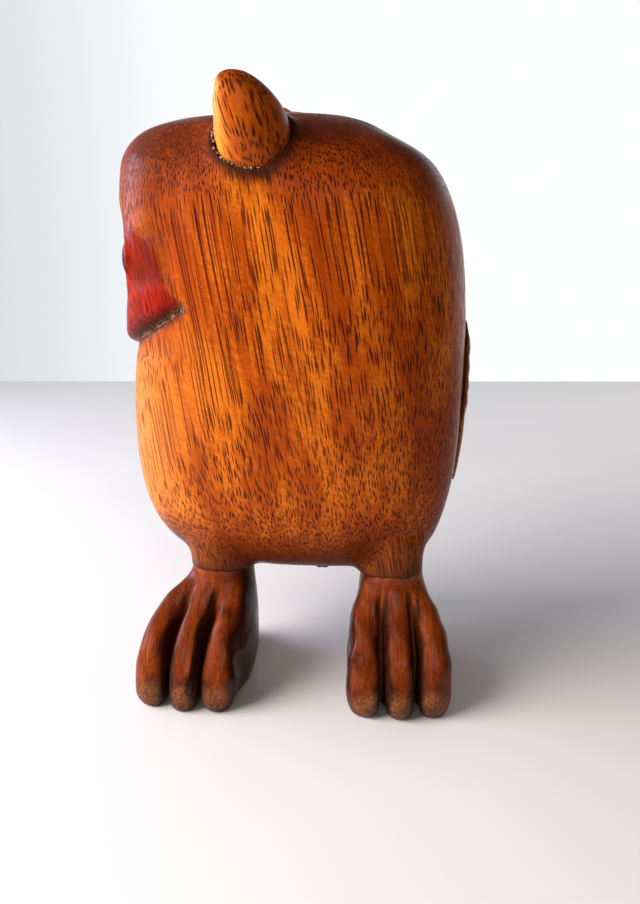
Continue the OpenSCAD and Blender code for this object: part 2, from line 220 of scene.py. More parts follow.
def loft(along, across, up, stations, power, rounding=0.1):
    """A form that runs along one axis. A station holds its place, the middle across, the middle
    up, and half the size across and up."""
    rows = np.array(stations, float)
    places = np.linspace(rows[0, 0], rows[-1, 0], 200)
    slopes = [np.gradient(rows[:, k], rows[:, 0]) for k in range(1, 5)]
    cell = np.clip(np.searchsorted(rows[:, 0], places) - 1, 0, len(rows) - 2)
    gap = rows[cell + 1, 0] - rows[cell, 0]
    t = (places - rows[cell, 0]) / gap
    middle_a, middle_u, half_a, half_u = (
        np.interp(along, places,
                  (2 * t ** 3 - 3 * t ** 2 + 1) * rows[cell, k + 1]
                  + (t ** 3 - 2 * t ** 2 + t) * gap * slopes[k][cell]
                  + (3 * t ** 2 - 2 * t ** 3) * rows[cell + 1, k + 1]
                  + (t ** 3 - t ** 2) * gap * slopes[k][cell + 1])
        for k in range(4))
    half_a, half_u = np.maximum(half_a, 0.15), np.maximum(half_u, 0.15)
    reach = (np.abs((across - middle_a) / half_a) ** power
             + np.abs((up - middle_u) / half_u) ** power) ** (1 / power)
    side = (reach - 1) * np.minimum(half_a, half_u)
    return both(side, np.maximum(along - rows[-1, 0], rows[0, 0] - along), rounding)


def hand_marks(space, size, depth, seed):
    """Slow unevenness left by a hand tool: waves of about this size and depth."""
    rng = np.random.default_rng(seed)
    total = 0
    for _ in range(9):
        way = rng.normal(size=3)
        way *= rng.uniform(0.7, 1.5) * 2 * math.pi / size / np.linalg.norm(way)
        total = total + np.sin(way[0] * space.x + way[1] * space.y + way[2] * space.z
                               + rng.uniform(0, 2 * math.pi))
    return total * depth / 3


def relax(points, quads, share):
    """Moves each point towards the middle of its neighbours."""
    pairs = np.concatenate([quads[:, [k, (k + 1) % 4]] for k in range(4)])
    count = np.bincount(pairs.ravel(), minlength=len(points))
    moved = np.empty_like(points)
    for k in range(3):
        total = (np.bincount(pairs[:, 0], points[pairs[:, 1], k], len(points))
                 + np.bincount(pairs[:, 1], points[pairs[:, 0], k], len(points)))
        moved[:, k] = total / count
    return points + share * (moved - points)


def skin(space, field):
    """Points, four-sided faces and outward directions of a field's surface."""
    outside = 5.0
    grid = openvdb.FloatGrid(outside)
    grid.copyFromArray(np.ascontiguousarray(field, dtype=np.float32))
    points, quads = grid.convertToQuads(0.0)
    points = points.astype(float) * space.step + space.low
    quads = quads.astype(int)
    slopes = np.gradient(field, space.step)
    for _ in range(3):
        points = relax(points, quads, 0.6)
        away = np.stack([space.read(s, points) for s in slopes], axis=1)
        steep = np.maximum((away * away).sum(1, keepdims=True), 0.1)
        points -= away / steep * space.read(field, points)[:, None]
    return points, quads, away / np.sqrt(steep)


def new_mesh(name, points, faces, material, marks=None):
    """A smooth mesh object from points in millimetres, with named values at its points."""
    mesh = bpy.data.meshes.new(name)
    if isinstance(faces, np.ndarray):
        faces = faces.tolist()
    mesh.from_pydata((np.asarray(points) * MM).tolist(), [], faces)
    for key, values in (marks or {}).items():
        attribute = mesh.attributes.new(key, "FLOAT", "POINT")
        attribute.data.foreach_set("value", np.asarray(values, dtype=np.float32))
    mesh.shade_smooth()
    mesh.materials.append(material)
    made = bpy.data.objects.new(name, mesh)
    bpy.context.scene.collection.objects.link(made)
    return made


def end_grain(away, lean_x, lean_y):
    """How squarely the surface cuts across the grain, from 0 to 1."""
    grain = np.array([math.sin(lean_y), -math.sin(lean_x), math.cos(lean_x) * math.cos(lean_y)])
    return np.abs(away @ grain)


def hollows(space, field, points, passes=5):
    """Positive in creases and negative on ridges, for wax with painted shade in creases and wear on
    ridges.
    """
    return space.read(soften(field, passes), points) - space.read(field, points)


def keep(piece, packed):
    """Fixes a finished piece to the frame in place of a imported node."""
    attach(piece, "root")
    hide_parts(packed)


# ---------------------------------------------------------------- materials

def node(tree, kind, inputs=(), **settings):
    """Adds a node. An input is a number, a colour or another node's socket."""
    made = tree.nodes.new(kind)
    for key, value in settings.items():
        setattr(made, key, value)
    for key, value in dict(inputs).items():
        if isinstance(value, bpy.types.NodeSocket):
            tree.links.new(value, made.inputs[key])
        else:
            made.inputs[key].default_value = value
    return made


def maths(tree, operation, *values, clamp=False):
    """One step of arithmetic."""
    return node(tree, "ShaderNodeMath", dict(enumerate(values)), operation=operation,
                use_clamp=clamp).outputs[0]


def vectors(tree, operation, *values):
    """One step of arithmetic on vectors."""
    made = node(tree, "ShaderNodeVectorMath", dict(enumerate(values)), operation=operation)
    return made.outputs[0]


def spread(tree, value, low, high, to_low=0.0, to_high=1.0):
    """Maps a range of values smoothly to another."""
    return node(tree, "ShaderNodeMapRange",
                {"Value": value, "From Min": low, "From Max": high, "To Min": to_low,
                 "To Max": to_high}, interpolation_type="SMOOTHSTEP").outputs["Result"]


def mix(tree, share, a, b, blend="MIX"):
    """Mixes two colours."""
    made = node(tree, "ShaderNodeMix", {0: share, 6: a, 7: b}, data_type="RGBA", blend_type=blend)
    return made.outputs[2]


def noise(tree, vector, scale, detail=2.0, rough=0.5):
    """Soft random values between 0 and 1."""
    return node(tree, "ShaderNodeTexNoise",
                {"Vector": vector, "Scale": scale, "Detail": detail, "Roughness": rough}).outputs[0]


def new_group(name, inputs, outputs):
    """An empty shader group with named sockets."""
    tree = bpy.data.node_groups.new(name, "ShaderNodeTree")
    for label, kind, value in inputs:
        socket = tree.interface.new_socket(label, in_out="INPUT", socket_type=kind)
        if value is not None:
            socket.default_value = value
    for label, kind in outputs:
        tree.interface.new_socket(label, in_out="OUTPUT", socket_type=kind)
    return tree, tree.nodes.new("NodeGroupInput"), tree.nodes.new("NodeGroupOutput")


FLOAT, COLOUR, VECTOR = "NodeSocketFloat", "NodeSocketColor", "NodeSocketVector"


def make_grain_group():
    """Tropical hardwood: long open vessels, slow ribbon figure and a fine cross ripple.

    Inside the group, places are in millimetres and the grain runs upwards.
    """
    tree, given, result = new_group(
        "Hardwood grain",
        [("Place", VECTOR, None), ("Lean", VECTOR, (0, 0, 0)), ("Shift", VECTOR, (0, 0, 0)),
         ("Pale", COLOUR, (0.55, 0.2, 0.03, 1)), ("Middle", COLOUR, (0.33, 0.09, 0.012, 1)),
         ("Deep", COLOUR, (0.14, 0.03, 0.005, 1)), ("Vessel", COLOUR, (0.03, 0.008, 0.002, 1)),
         ("Vessel strength", FLOAT, 0.85), ("Openness", FLOAT, 0.0), ("Figure", FLOAT, 1.0),
         ("End grain", FLOAT, 0.0), ("End darkness", FLOAT, 0.7)],
        [("Colour", COLOUR), ("Vessels", FLOAT), ("Height", FLOAT)])
    own = given.outputs
    place = vectors(tree, "MULTIPLY", own["Place"], (1000, 1000, 1000))
    place = node(tree, "ShaderNodeVectorRotate", {"Vector": place, "Rotation": own["Lean"]},
                 rotation_type="EULER_XYZ").outputs[0]
    place = vectors(tree, "ADD", place, own["Shift"])
    sway = node(tree, "ShaderNodeTexNoise",
                {"Vector": vectors(tree, "MULTIPLY", place, (1, 1, 0.5)), "Scale": 0.03,
                 "Detail": 1.5}).outputs["Color"]
    sway = vectors(tree, "MULTIPLY", vectors(tree, "SUBTRACT", sway, (0.5, 0.5, 0.5)), (3.5, 3.5, 0))
    place = vectors(tree, "ADD", place, sway)

    def vessels(spacing, radius, run, shift):
        """Round tubes along the grain, open over part of their run, with tapered ends."""
        level = vectors(tree, "MULTIPLY", place, (1 / spacing, 1 / spacing, 0))
        cells = node(tree, "ShaderNodeTexVoronoi",
                     {"Vector": vectors(tree, "ADD", level, (shift, shift, 0)), "Scale": 1.0},
                     voronoi_dimensions="2D", feature="F1")
        own_start = node(tree, "ShaderNodeSeparateColor", {0: cells.outputs["Color"]}).outputs[0]
        along = node(tree, "ShaderNodeSeparateXYZ", {0: place}).outputs[2]
        along = maths(tree, "MULTIPLY_ADD", own_start, 300.0, maths(tree, "MULTIPLY", along, 1 / run))
        open_part = node(tree, "ShaderNodeTexNoise", {"W": along, "Scale": 1.0, "Detail": 1.0},
                         noise_dimensions="1D").outputs[0]
        open_part = maths(tree, "ADD", open_part, own["Openness"])
        wide = spread(tree, open_part, 0.32, 0.52, 0.0, radius / spacing)
        reach = maths(tree, "DIVIDE", maths(tree, "SUBTRACT", wide, cells.outputs["Distance"]),
                      0.06 / spacing)
        return maths(tree, "MULTIPLY_ADD", reach, 0.5, 0.5, clamp=True)

    tubes = maths(tree, "MAXIMUM", vessels(0.60, 0.14, 32.0, 0.0), vessels(1.15, 0.19, 48.0, 7.3))
    bare = spread(tree, noise(tree, vectors(tree, "MULTIPLY", place, (1, 1, 0.25)), 0.09), 0.30, 0.60)
    tubes = maths(tree, "MULTIPLY", tubes, maths(tree, "MULTIPLY_ADD", bare, 0.25, 0.75))

    figure = noise(tree, vectors(tree, "MULTIPLY", place, (1, 1, 0.05)), 0.55, 4.0, 0.6)
    ribbon = noise(tree, vectors(tree, "MULTIPLY", place, (1, 1, 0.3)), 0.07, 2.0)
    ripple = noise(tree, vectors(tree, "MULTIPLY", place, (1, 1, 0.5)), 1.9, 3.0, 0.65)
    slanted = node(tree, "ShaderNodeVectorRotate",
                   {"Vector": place, "Axis": (0, 1, 0), "Angle": math.radians(62)},
                   rotation_type="AXIS_ANGLE").outputs[0]
    silk = noise(tree, vectors(tree, "MULTIPLY", slanted, (1, 0.3, 0.12)), 1.7, 3.0, 0.6)
    wanted = maths(tree, "MULTIPLY", own["Figure"], spread(tree, figure, 0.28, 0.72, -0.17, 0.17))
    tone = maths(tree, "ADD", spread(tree, ribbon, 0.28, 0.72, 0.24, 0.82), wanted)
    tone = maths(tree, "ADD", tone, spread(tree, ripple, 0.25, 0.75, -0.12, 0.12))
    tone = maths(tree, "ADD", tone, spread(tree, silk, 0.30, 0.70, -0.08, 0.08))
    crossing = spread(tree, own["End grain"], 0.12, 0.85)
    tone = maths(tree, "SUBTRACT", tone, maths(tree, "MULTIPLY", crossing, own["End darkness"]))
    colour = mix(tree, spread(tree, tone, -0.35, 0.45), own["Deep"], own["Middle"])
    colour = mix(tree, spread(tree, tone, 0.35, 1.0), colour, own["Pale"])
    stained = maths(tree, "MULTIPLY", tubes, own["Vessel strength"])
    colour = mix(tree, stained, colour, own["Vessel"])
    height = maths(tree, "MULTIPLY_ADD", tubes, -1.0, maths(tree, "MULTIPLY", ripple, 0.16))
    height = maths(tree, "MULTIPLY_ADD", silk, 0.10, height)
    tree.links.new(colour, result.inputs["Colour"])
    tree.links.new(tubes, result.inputs["Vessels"])
    tree.links.new(height, result.inputs["Height"])
    return tree


def make_age_group():
    """Dark wax and painted shade in hollows, and rubbed ridges where hands have been."""
    tree, given, result = new_group(
        "Wax and rubbing",
        [("Place", VECTOR, None), ("Colour", COLOUR, (0.3, 0.1, 0.02, 1)), ("Hollow", FLOAT, 0.0),
         ("Wax and shade", COLOUR, (0.02, 0.006, 0.002, 1)), ("Rubbed", COLOUR, (0.5, 0.22, 0.07, 1)),
         ("Wax reach", FLOAT, 0.25), ("Rub reach", FLOAT, 0.3), ("Rub strength", FLOAT, 0.3)],
        [("Colour", COLOUR), ("Wax and shade", FLOAT), ("Rubbed", FLOAT)])
    own = given.outputs
    patchy = noise(tree, own["Place"], 260.0, 4.0, 0.65)
    edge = maths(tree, "MULTIPLY_ADD", maths(tree, "SUBTRACT", patchy, 0.5), 0.22, own["Hollow"])
    wax_and_shade = spread(tree, maths(tree, "DIVIDE", edge, own["Wax reach"]), 0.12, 1.0)
    rubbed = spread(tree, maths(tree, "DIVIDE", edge, own["Rub reach"]), -0.2, -1.0)
    rubbed = maths(tree, "MULTIPLY", rubbed, own["Rub strength"])
    colour = mix(tree, rubbed, own["Colour"], own["Rubbed"])
    colour = mix(tree, maths(tree, "MULTIPLY", wax_and_shade, 0.9), colour, own["Wax and shade"])
    tree.links.new(colour, result.inputs["Colour"])
    tree.links.new(wax_and_shade, result.inputs["Wax and shade"])
    tree.links.new(rubbed, result.inputs["Rubbed"])
    return tree


GRAIN = make_grain_group()
AGE = make_age_group()


def new_material(name):
    """A material with its shader and output, and the object's own coordinates."""
    made = bpy.data.materials.new(name)
    made.use_nodes = True
    tree = made.node_tree
    shader = next(n for n in tree.nodes if n.type == "BSDF_PRINCIPLED")
    place = tree.nodes.new("ShaderNodeTexCoord").outputs["Object"]
    return made, tree, shader, place


def mark(tree, name):
    """A value kept at the mesh's points."""
    return node(tree, "ShaderNodeAttribute", attribute_name=name).outputs["Fac"]


def grained(tree, place, lean, shift, colours, strength=0.85, figure=1.0, end_grain="end_grain",
            openness=0.0):
    """The grain group with this piece's own lean and colours."""
    made = tree.nodes.new("ShaderNodeGroup")
    made.node_tree = GRAIN
    tree.links.new(place, made.inputs["Place"])
    made.inputs["Lean"].default_value = [math.radians(a) for a in lean]
    made.inputs["Shift"].default_value = shift
    for label, value in zip(("Pale", "Middle", "Deep", "Vessel"), colours):
        made.inputs[label].default_value = (*value, 1)
    made.inputs["Vessel strength"].default_value = strength
    made.inputs["Openness"].default_value = openness
    made.inputs["Figure"].default_value = figure
    if end_grain is not None:
        tree.links.new(mark(tree, end_grain), made.inputs["End grain"])
    return made.outputs


def aged(tree, place, colour, hollow, wax_reach, rub_reach, rub_strength, rubbed):
    """The wax and rubbing group with this piece's own amounts."""
    made = tree.nodes.new("ShaderNodeGroup")
    made.node_tree = AGE
    tree.links.new(place, made.inputs["Place"])
    tree.links.new(colour, made.inputs["Colour"])
    tree.links.new(hollow, made.inputs["Hollow"])
    made.inputs["Wax reach"].default_value = wax_reach
    made.inputs["Rub reach"].default_value = rub_reach
    made.inputs["Rub strength"].default_value = rub_strength
    made.inputs["Rubbed"].default_value = (*rubbed, 1)
    return made.outputs


def varnish(tree, shader, colour, roughness, height, depth, coat):
    """Finishes a wood shader: colour, gloss and the open grain under the varnish."""
    tree.links.new(colour, shader.inputs["Base Color"])
    tree.links.new(roughness, shader.inputs["Roughness"])
    bump = node(tree, "ShaderNodeBump", {"Height": height, "Strength": 1.0, "Distance": depth * MM})
    tree.links.new(bump.outputs["Normal"], shader.inputs["Normal"])
    shader.inputs["Specular IOR Level"].default_value = 0.06
    shader.inputs["Coat Weight"].default_value = coat
    shader.inputs["Coat Roughness"].default_value = 0.2


BODY_COLOURS = ((0.74, 0.170, 0.008), (0.37, 0.052, 0.002), (0.13, 0.016, 0.001), (0.045, 0.002, 0.001))
FOOT_COLOURS = ((0.38, 0.072, 0.006), (0.20, 0.030, 0.003), (0.05, 0.007, 0.001), (0.012, 0.002, 0.001))


def make_body_material():
    """Varnished hardwood, red stain on the face, and a rough dark cut under the chin."""
    made, tree, shader, place = new_material("Varnished hardwood body")
    grain = grained(tree, place, (3, 10, 0), (3.0, 1.5, 0.0), BODY_COLOURS, 0.92, openness=0.07)
    # Painted light: a paler colour on surfaces turned to -X, towards the lamps.
    painted_light = maths(tree, "MULTIPLY", mark(tree, "painted_light"), spread(tree, grain["Vessels"], 0, 1, 0.6, 0.2))
    wood = mix(tree, painted_light, grain["Colour"], (0.80, 0.29, 0.060, 1))
    old = aged(tree, place, wood, mark(tree, "hollow"), 0.35, 0.5, 0.2, (0.6, 0.25, 0.06))
    stain = mark(tree, "stain")
    uneven = noise(tree, place, 420.0, 3.0)
    stain = maths(tree, "MULTIPLY_ADD", maths(tree, "SUBTRACT", uneven, 0.5), 0.5, stain)
    stain = spread(tree, stain, 0.25, 0.75)
    red = mix(tree, grain["Vessels"], (0.33, 0.007, 0.002, 1), (0.05, 0.002, 0.001, 1))
    red = mix(tree, spread(tree, noise(tree, place, 160.0, 3.0), 0.35, 0.65), red,
              (0.18, 0.004, 0.002, 1))
    colour = mix(tree, maths(tree, "MULTIPLY", stain, 0.9), old["Colour"], red)
    # Painted shade at the foot, brow and beside the eyes, darker towards the crown, and dark seams round
    # the tufts.
    shade_and_seams = mark(tree, "shade_and_seams")
    colour = mix(tree, maths(tree, "MULTIPLY", shade_and_seams, 0.75), colour, (0.07, 0.018, 0.006, 1))
    rough_cut = mark(tree, "rough_cut")
    splinters = spread(tree, noise(tree, place, 1500.0, 4.0, 0.7), 0.42, 0.62)
    chopped = mix(tree, splinters, (0.014, 0.006, 0.003, 1), (0.13, 0.055, 0.022, 1))
    colour = mix(tree, rough_cut, colour, chopped)
    sheen = spread(tree, grain["Vessels"], 0.0, 1.0, 0.28, 0.44)
    sheen = maths(tree, "ADD", sheen, spread(tree, noise(tree, place, 90.0, 4.0), 0.3, 0.7, -0.05, 0.07))
    sheen = maths(tree, "MULTIPLY_ADD", rough_cut, 0.4, sheen)
    height = maths(tree, "ADD", grain["Height"],
                   maths(tree, "MULTIPLY", maths(tree, "MULTIPLY", splinters, rough_cut), 3.0))
    varnish(tree, shader, colour, sheen, height, 0.09, 0.06)
    return made


def make_ear_material():
    """The same hardwood on the ear tufts, with its grain along the tuft."""
    made, tree, shader, place = new_material("Varnished hardwood ear tuft")
    colours = ((0.82, 0.26, 0.020), (0.46, 0.080, 0.004), (0.15, 0.018, 0.001), (0.035, 0.003, 0.001))
    coarse = vectors(tree, "MULTIPLY", place, (0.8, 0.8, 0.8))
    grain = grained(tree, coarse, (0, 16, 0), (11.0, 7.5, 4.0), colours, 0.95, 1.5, openness=0.08)
    # Painted light: a paler colour on the side of the tuft turned to -X, towards the lamps.
    painted_light = maths(tree, "MULTIPLY", mark(tree, "painted_light"), spread(tree, grain["Vessels"], 0, 1, 0.8, 0.2))
    wood = mix(tree, painted_light, grain["Colour"], (0.90, 0.33, 0.040, 1))
    old = aged(tree, place, wood, mark(tree, "hollow"), 0.3, 0.5, 0.3, (0.66, 0.3, 0.08))
    sheen = spread(tree, grain["Vessels"], 0.0, 1.0, 0.28, 0.44)
    varnish(tree, shader, old["Colour"], sheen, grain["Height"], 0.05, 0.06)
    return made


def make_wing_material():
    """Darker hardwood on the wings, with wax and painted shade between the feathers."""
    made, tree, shader, place = new_material("Varnished hardwood wing")
    colours = ((0.44, 0.110, 0.010), (0.24, 0.044, 0.004), (0.09, 0.014, 0.002), (0.02, 0.003, 0.001))
    grain = grained(tree, place, (4, 4, 0), (21.0, 3.5, 9.0), colours, end_grain=None)
    old = aged(tree, place, grain["Colour"], mark(tree, "hollow"), 0.3, 0.5, 0.3, (0.4, 0.16, 0.05))
    sheen = spread(tree, grain["Vessels"], 0.0, 1.0, 0.28, 0.44)
    varnish(tree, shader, old["Colour"], sheen, grain["Height"], 0.05, 0.06)
    return made


def make_foot_material():
    """Dark glossy hardwood, rubbed to pale rough end grain at the toe tips."""
    made, tree, shader, place = new_material("Dark varnished foot wood")
    grain = grained(tree, place, (38, 0, 0), (2.0, 8.0, 1.0), FOOT_COLOURS, 0.35, 1.2)
    # Painted light: the top of the foot below the block gets a paler colour, against the shadow of the
    # collar above it.
    ankle = mix(tree, grain["Vessels"], (0.72, 0.140, 0.009, 1), (0.05, 0.006, 0.002, 1))
    wood = mix(tree, mark(tree, "ankle"), grain["Colour"], ankle)
    old = aged(tree, place, wood, mark(tree, "hollow"), 0.36, 0.8, 0.45, (0.34, 0.12, 0.035))
    tip = mark(tree, "tip")
    broken = noise(tree, place, 500.0, 4.0, 0.7)
    tip = spread(tree, maths(tree, "MULTIPLY_ADD", maths(tree, "SUBTRACT", broken, 0.5), 0.9, tip),
                 0.3, 0.8)
    ends = mix(tree, spread(tree, noise(tree, place, 1300.0, 3.0, 0.7), 0.4, 0.62),
               (0.13, 0.038, 0.010, 1), (0.36, 0.13, 0.035, 1))
    colour = mix(tree, maths(tree, "MULTIPLY", tip, 0.6), old["Colour"], ends)
    # Painted shade: the toe grooves and other hollows are darkened further, almost to black.
    colour = mix(tree, maths(tree, "MULTIPLY", old["Wax and shade"], 0.8), colour, (0.010, 0.003, 0.002, 1))
    # Painted shade on the feet's inner sides, which face each other.
    colour = mix(tree, mark(tree, "shaded"), colour, (0.030, 0.006, 0.002, 1))
    sheen = spread(tree, grain["Vessels"], 0.0, 1.0, 0.30, 0.44)
    sheen = maths(tree, "MULTIPLY_ADD", tip, 0.22, sheen)
    height = maths(tree, "MULTIPLY_ADD", maths(tree, "MULTIPLY", broken, tip), 1.5, grain["Height"])
    varnish(tree, shader, colour, sheen, height, 0.06, 0.38)
    return made


def make_beak_material():
    """Black gloss paint over wood, thin on the ridge."""
    made, tree, shader, place = new_material("Black painted beak")
    old_ridge = spread(tree, mark(tree, "hollow"), -0.10, -0.35)
    worn = maths(tree, "MULTIPLY", old_ridge, spread(tree, noise(tree, place, 700.0, 4.0), 0.45, 0.6))
    colour = mix(tree, maths(tree, "MULTIPLY", worn, 0.5), (0.006, 0.005, 0.005, 1),
                 (0.07, 0.025, 0.01, 1))
    brushed = noise(tree, vectors(tree, "MULTIPLY", place, (1, 1, 0.15)), 1800.0, 3.0)
    varnish(tree, shader, colour, spread(tree, brushed, 0.3, 0.7, 0.22, 0.38), brushed, 0.03, 0.4)
    return made


def make_iris_material():
    """Amber inlay with fine rays, a dark rim and a dark edge round the pupil."""
    made, tree, shader, place = new_material("Amber iris inlay")
    ring = mark(tree, "ring")
    rays = noise(tree, place, 900.0, 3.0, 0.6)
    gold = mix(tree, spread(tree, rays, 0.35, 0.65), (0.62, 0.27, 0.03, 1), (0.85, 0.50, 0.10, 1))
    dark = maths(tree, "MAXIMUM", spread(tree, ring, 0.86, 0.94), spread(tree, ring, 0.62, 0.55))
    colour = mix(tree, dark, gold, (0.03, 0.012, 0.006, 1))
    varnish(tree, shader, colour, spread(tree, rays, 0.3, 0.7, 0.12, 0.2), rays, 0.02, 0.8)
    return made


def make_pupil_material():
    """A polished black bead, faintly scuffed."""
    made, tree, shader, place = new_material("Black pupil bead")
    scuffs = noise(tree, place, 2200.0, 4.0, 0.7)
    colour = mix(tree, spread(tree, scuffs, 0.5, 0.8), (0.004, 0.004, 0.005, 1), (0.02, 0.018, 0.016, 1))
    varnish(tree, shader, colour, spread(tree, scuffs, 0.3, 0.8, 0.12, 0.26), scuffs, 0.006, 0.15)
    return made


def make_dowel_material():
    """Bare pale dowel wood."""
    made, tree, shader, place = new_material("Bare dowel wood")
    colours = ((0.66, 0.46, 0.27), (0.52, 0.33, 0.17), (0.38, 0.22, 0.10), (0.25, 0.14, 0.07))
    grain = grained(tree, place, (0, 0, 0), (0, 0, 0), colours, 0.4, 0.6, None)
    varnish(tree, shader, grain["Colour"], spread(tree, grain["Vessels"], 0, 1, 0.6, 0.75),
            grain["Height"], 0.05, 0.0)
    return made


def make_residue_material():
    """Pale dried filler and splinters caught in a seam."""
    made, tree, shader, place = new_material("Dried filler")
    crumbs = noise(tree, place, 2500.0, 4.0, 0.7)
    colour = mix(tree, spread(tree, crumbs, 0.35, 0.65), (0.13, 0.07, 0.045, 1), (0.50, 0.38, 0.30, 1))
    varnish(tree, shader, colour, spread(tree, crumbs, 0.3, 0.7, 0.65, 0.9), crumbs, 0.04, 0.0)
    return made


# ---------------------------------------------------------------- small repeated parts

def run_nodes(name, points, marks, tree, values):
    """Runs a geometry node tree on loose points and returns the plain mesh it makes."""
    base = bpy.data.meshes.new(name + " points")
    base.from_pydata((np.asarray(points) * MM).tolist(), [], [])
    for key, data in marks.items():
        data = np.asarray(data, dtype=np.float32)
        kind, field = ("FLOAT_VECTOR", "vector") if data.ndim == 2 else ("FLOAT", "value")
        base.attributes.new(key, kind, "POINT").data.foreach_set(field, data.ravel())
    holder = bpy.data.objects.new(name + " points", base)
    bpy.context.scene.collection.objects.link(holder)
    modifier = holder.modifiers.new("Nodes", "NODES")
    modifier.node_group = tree
    for item in tree.interface.items_tree:
        if item.item_type == "SOCKET" and item.in_out == "INPUT" and item.name in values:
            modifier[item.identifier] = values[item.name]
    graph = bpy.context.evaluated_depsgraph_get()
    made = bpy.data.meshes.new_from_object(holder.evaluated_get(graph))
    bpy.data.objects.remove(holder)
    bpy.data.meshes.remove(base)
    return made


def merge(piece, mesh):
    """Adds a mesh to a piece, as one object."""
    extra = bpy.data.objects.new(piece.name + " extra", mesh)
    bpy.context.scene.collection.objects.link(extra)
    with bpy.context.temp_override(active_object=piece, object=piece,
                                   selected_editable_objects=[piece, extra]):
        bpy.ops.object.join()


def new_scatter_tree(name, sizes, seed):
    """Empty geometry nodes that take points, these named sizes, a seed and a wood."""
    tree = bpy.data.node_groups.new(name, "GeometryNodeTree")
    face = tree.interface
    face.new_socket("Geometry", in_out="INPUT", socket_type="NodeSocketGeometry")
    for label, value in sizes:
        face.new_socket(label, in_out="INPUT", socket_type=FLOAT).default_value = value
    face.new_socket("Seed", in_out="INPUT", socket_type="NodeSocketInt").default_value = seed
    face.new_socket("Wood", in_out="INPUT", socket_type="NodeSocketMaterial")
    face.new_socket("Geometry", in_out="OUTPUT", socket_type="NodeSocketGeometry")
    return tree, tree.nodes.new("NodeGroupInput").outputs


def point_value(tree, name, kind="FLOAT"):
    """A value kept at the points, read in geometry nodes."""
    return node(tree, "GeometryNodeInputNamedAttribute", {"Name": name}, data_type=kind).outputs[0]


def lay_on_points(tree, own, shape, facing, size, smooth=False):
    """Ends a scatter tree: the shape on every point, made real and given its wood."""
    laid = node(tree, "GeometryNodeInstanceOnPoints",
                {"Points": own["Geometry"], "Instance": shape, "Rotation": facing, "Scale": size})
    solid = node(tree, "GeometryNodeRealizeInstances", {0: laid.outputs[0]})
    if smooth:
        solid = node(tree, "GeometryNodeSetShadeSmooth", {0: solid.outputs[0]})
    wood = node(tree, "GeometryNodeSetMaterial", {"Geometry": solid.outputs[0], "Material": own["Wood"]})
    tree.links.new(wood.outputs[0], tree.nodes.new("NodeGroupOutput").inputs[0])


def bits_tree():
    """Geometry nodes that put one rough crumb or splinter on every point."""
    tree, own = new_scatter_tree("Crumbs and splinters",
                                 (("Thickness", 0.0003), ("Length", 0.0006), ("Disorder", 0.6)), 1)
    lump = node(tree, "GeometryNodeMeshIcoSphere", {"Radius": 1.0, "Subdivisions": 1})
    where = node(tree, "GeometryNodeInputPosition").outputs[0]
    bumps = noise(tree, where, 1.1)
    swell = maths(tree, "MULTIPLY_ADD", bumps, 1.4, 0.3)
    rough = node(tree, "GeometryNodeSetPosition",
                 {"Geometry": lump.outputs["Mesh"],
                  "Position": node(tree, "ShaderNodeVectorMath", {0: where, "Scale": swell},
                                   operation="SCALE").outputs[0]})
    astray = node(tree, "FunctionNodeRandomValue",
                  {"Min": (-1, -1, -1), "Max": (1, 1, 1), "Seed": own["Seed"]},
                  data_type="FLOAT_VECTOR").outputs[0]
    astray = node(tree, "ShaderNodeVectorMath", {0: astray, "Scale": own["Disorder"]},
                  operation="SCALE").outputs[0]
    facing = node(tree, "FunctionNodeAxesToRotation",
                  {"Primary Axis": point_value(tree, "out", "FLOAT_VECTOR"),
                   "Secondary Axis": vectors(tree, "ADD", (0.1, 0.05, -1.0), astray)},
                  primary_axis="Z", secondary_axis="Y")
    jitter = node(tree, "FunctionNodeRandomValue", {"Min": 0.45, "Max": 1.2, "Seed": own["Seed"]},
                  data_type="FLOAT").outputs[1]
    size = node(tree, "ShaderNodeCombineXYZ",
                {0: maths(tree, "MULTIPLY", own["Thickness"], jitter),
                 1: maths(tree, "MULTIPLY", own["Length"], jitter),
                 2: maths(tree, "MULTIPLY", own["Thickness"], 0.7)}).outputs[0]
    lay_on_points(tree, own, rough.outputs[0], facing.outputs[0], size)
    return tree


def add_bits(piece, name, points, away, amounts, tree, material):
    """Scatters bits over some of these points. The amounts are count, thickness, length and seed."""
    count, thickness, length, seed = amounts
    chosen = np.random.default_rng(seed).choice(len(points), min(count, len(points)), replace=False)
    values = {"Thickness": thickness * MM, "Length": length * MM, "Seed": seed, "Wood": material}
    merge(piece, run_nodes(name, points[chosen], {"out": away[chosen]}, tree, values))


# ---------------------------------------------------------------- ear tufts

EAR_LEAN = math.radians(34.0)
EAR_SOCKET = 5.0  # depth of the socket in the head
FINE_STEP = 0.42  # sample distance of the tufts and the feet
# Height above the socket floor, shift from the face, shift outwards, half width, half thickness.
TUFT = [(-1.0, 0.0, 0.0, 9.1, 9.1), (4.0, -0.2, 0.0, 8.9, 9.0), (8.6, -0.8, -0.1, 8.4, 8.4),
        (12.6, -1.2, -0.5, 7.8, 7.6), (16.1, -1.9, -0.9, 6.8, 6.5), (18.9, -2.8, -1.3, 5.6, 5.1),
        (20.9, -3.7, -1.7, 4.1, 3.7), (22.3, -4.2, -1.9, 2.5, 2.2), (22.95, -4.4, -2.0, 1.0, 0.9)]


def ear_frame(side):
    """Root centre of a tuft and its three directions: away from the face, outwards and up."""
    root = middle_mm("ear_dowel_left" if side < 0 else "ear_dowel_right")
    up = np.array([0, side * math.sin(EAR_LEAN), math.cos(EAR_LEAN)])
    out = np.array([0, side * math.cos(EAR_LEAN), -math.sin(EAR_LEAN)])
    return root, np.array([1.0, 0, 0]), out, up


def tuft_field(space, side):
    """The ear tuft's solid. The dowel's middle is at the socket's floor."""
    root, back, out, up = ear_frame(side)
    along, across, outward = (distance_along(space, root, way) for way in (up, back, out))
    return as_distance(space, loft(along, across, outward, TUFT, 2.15))


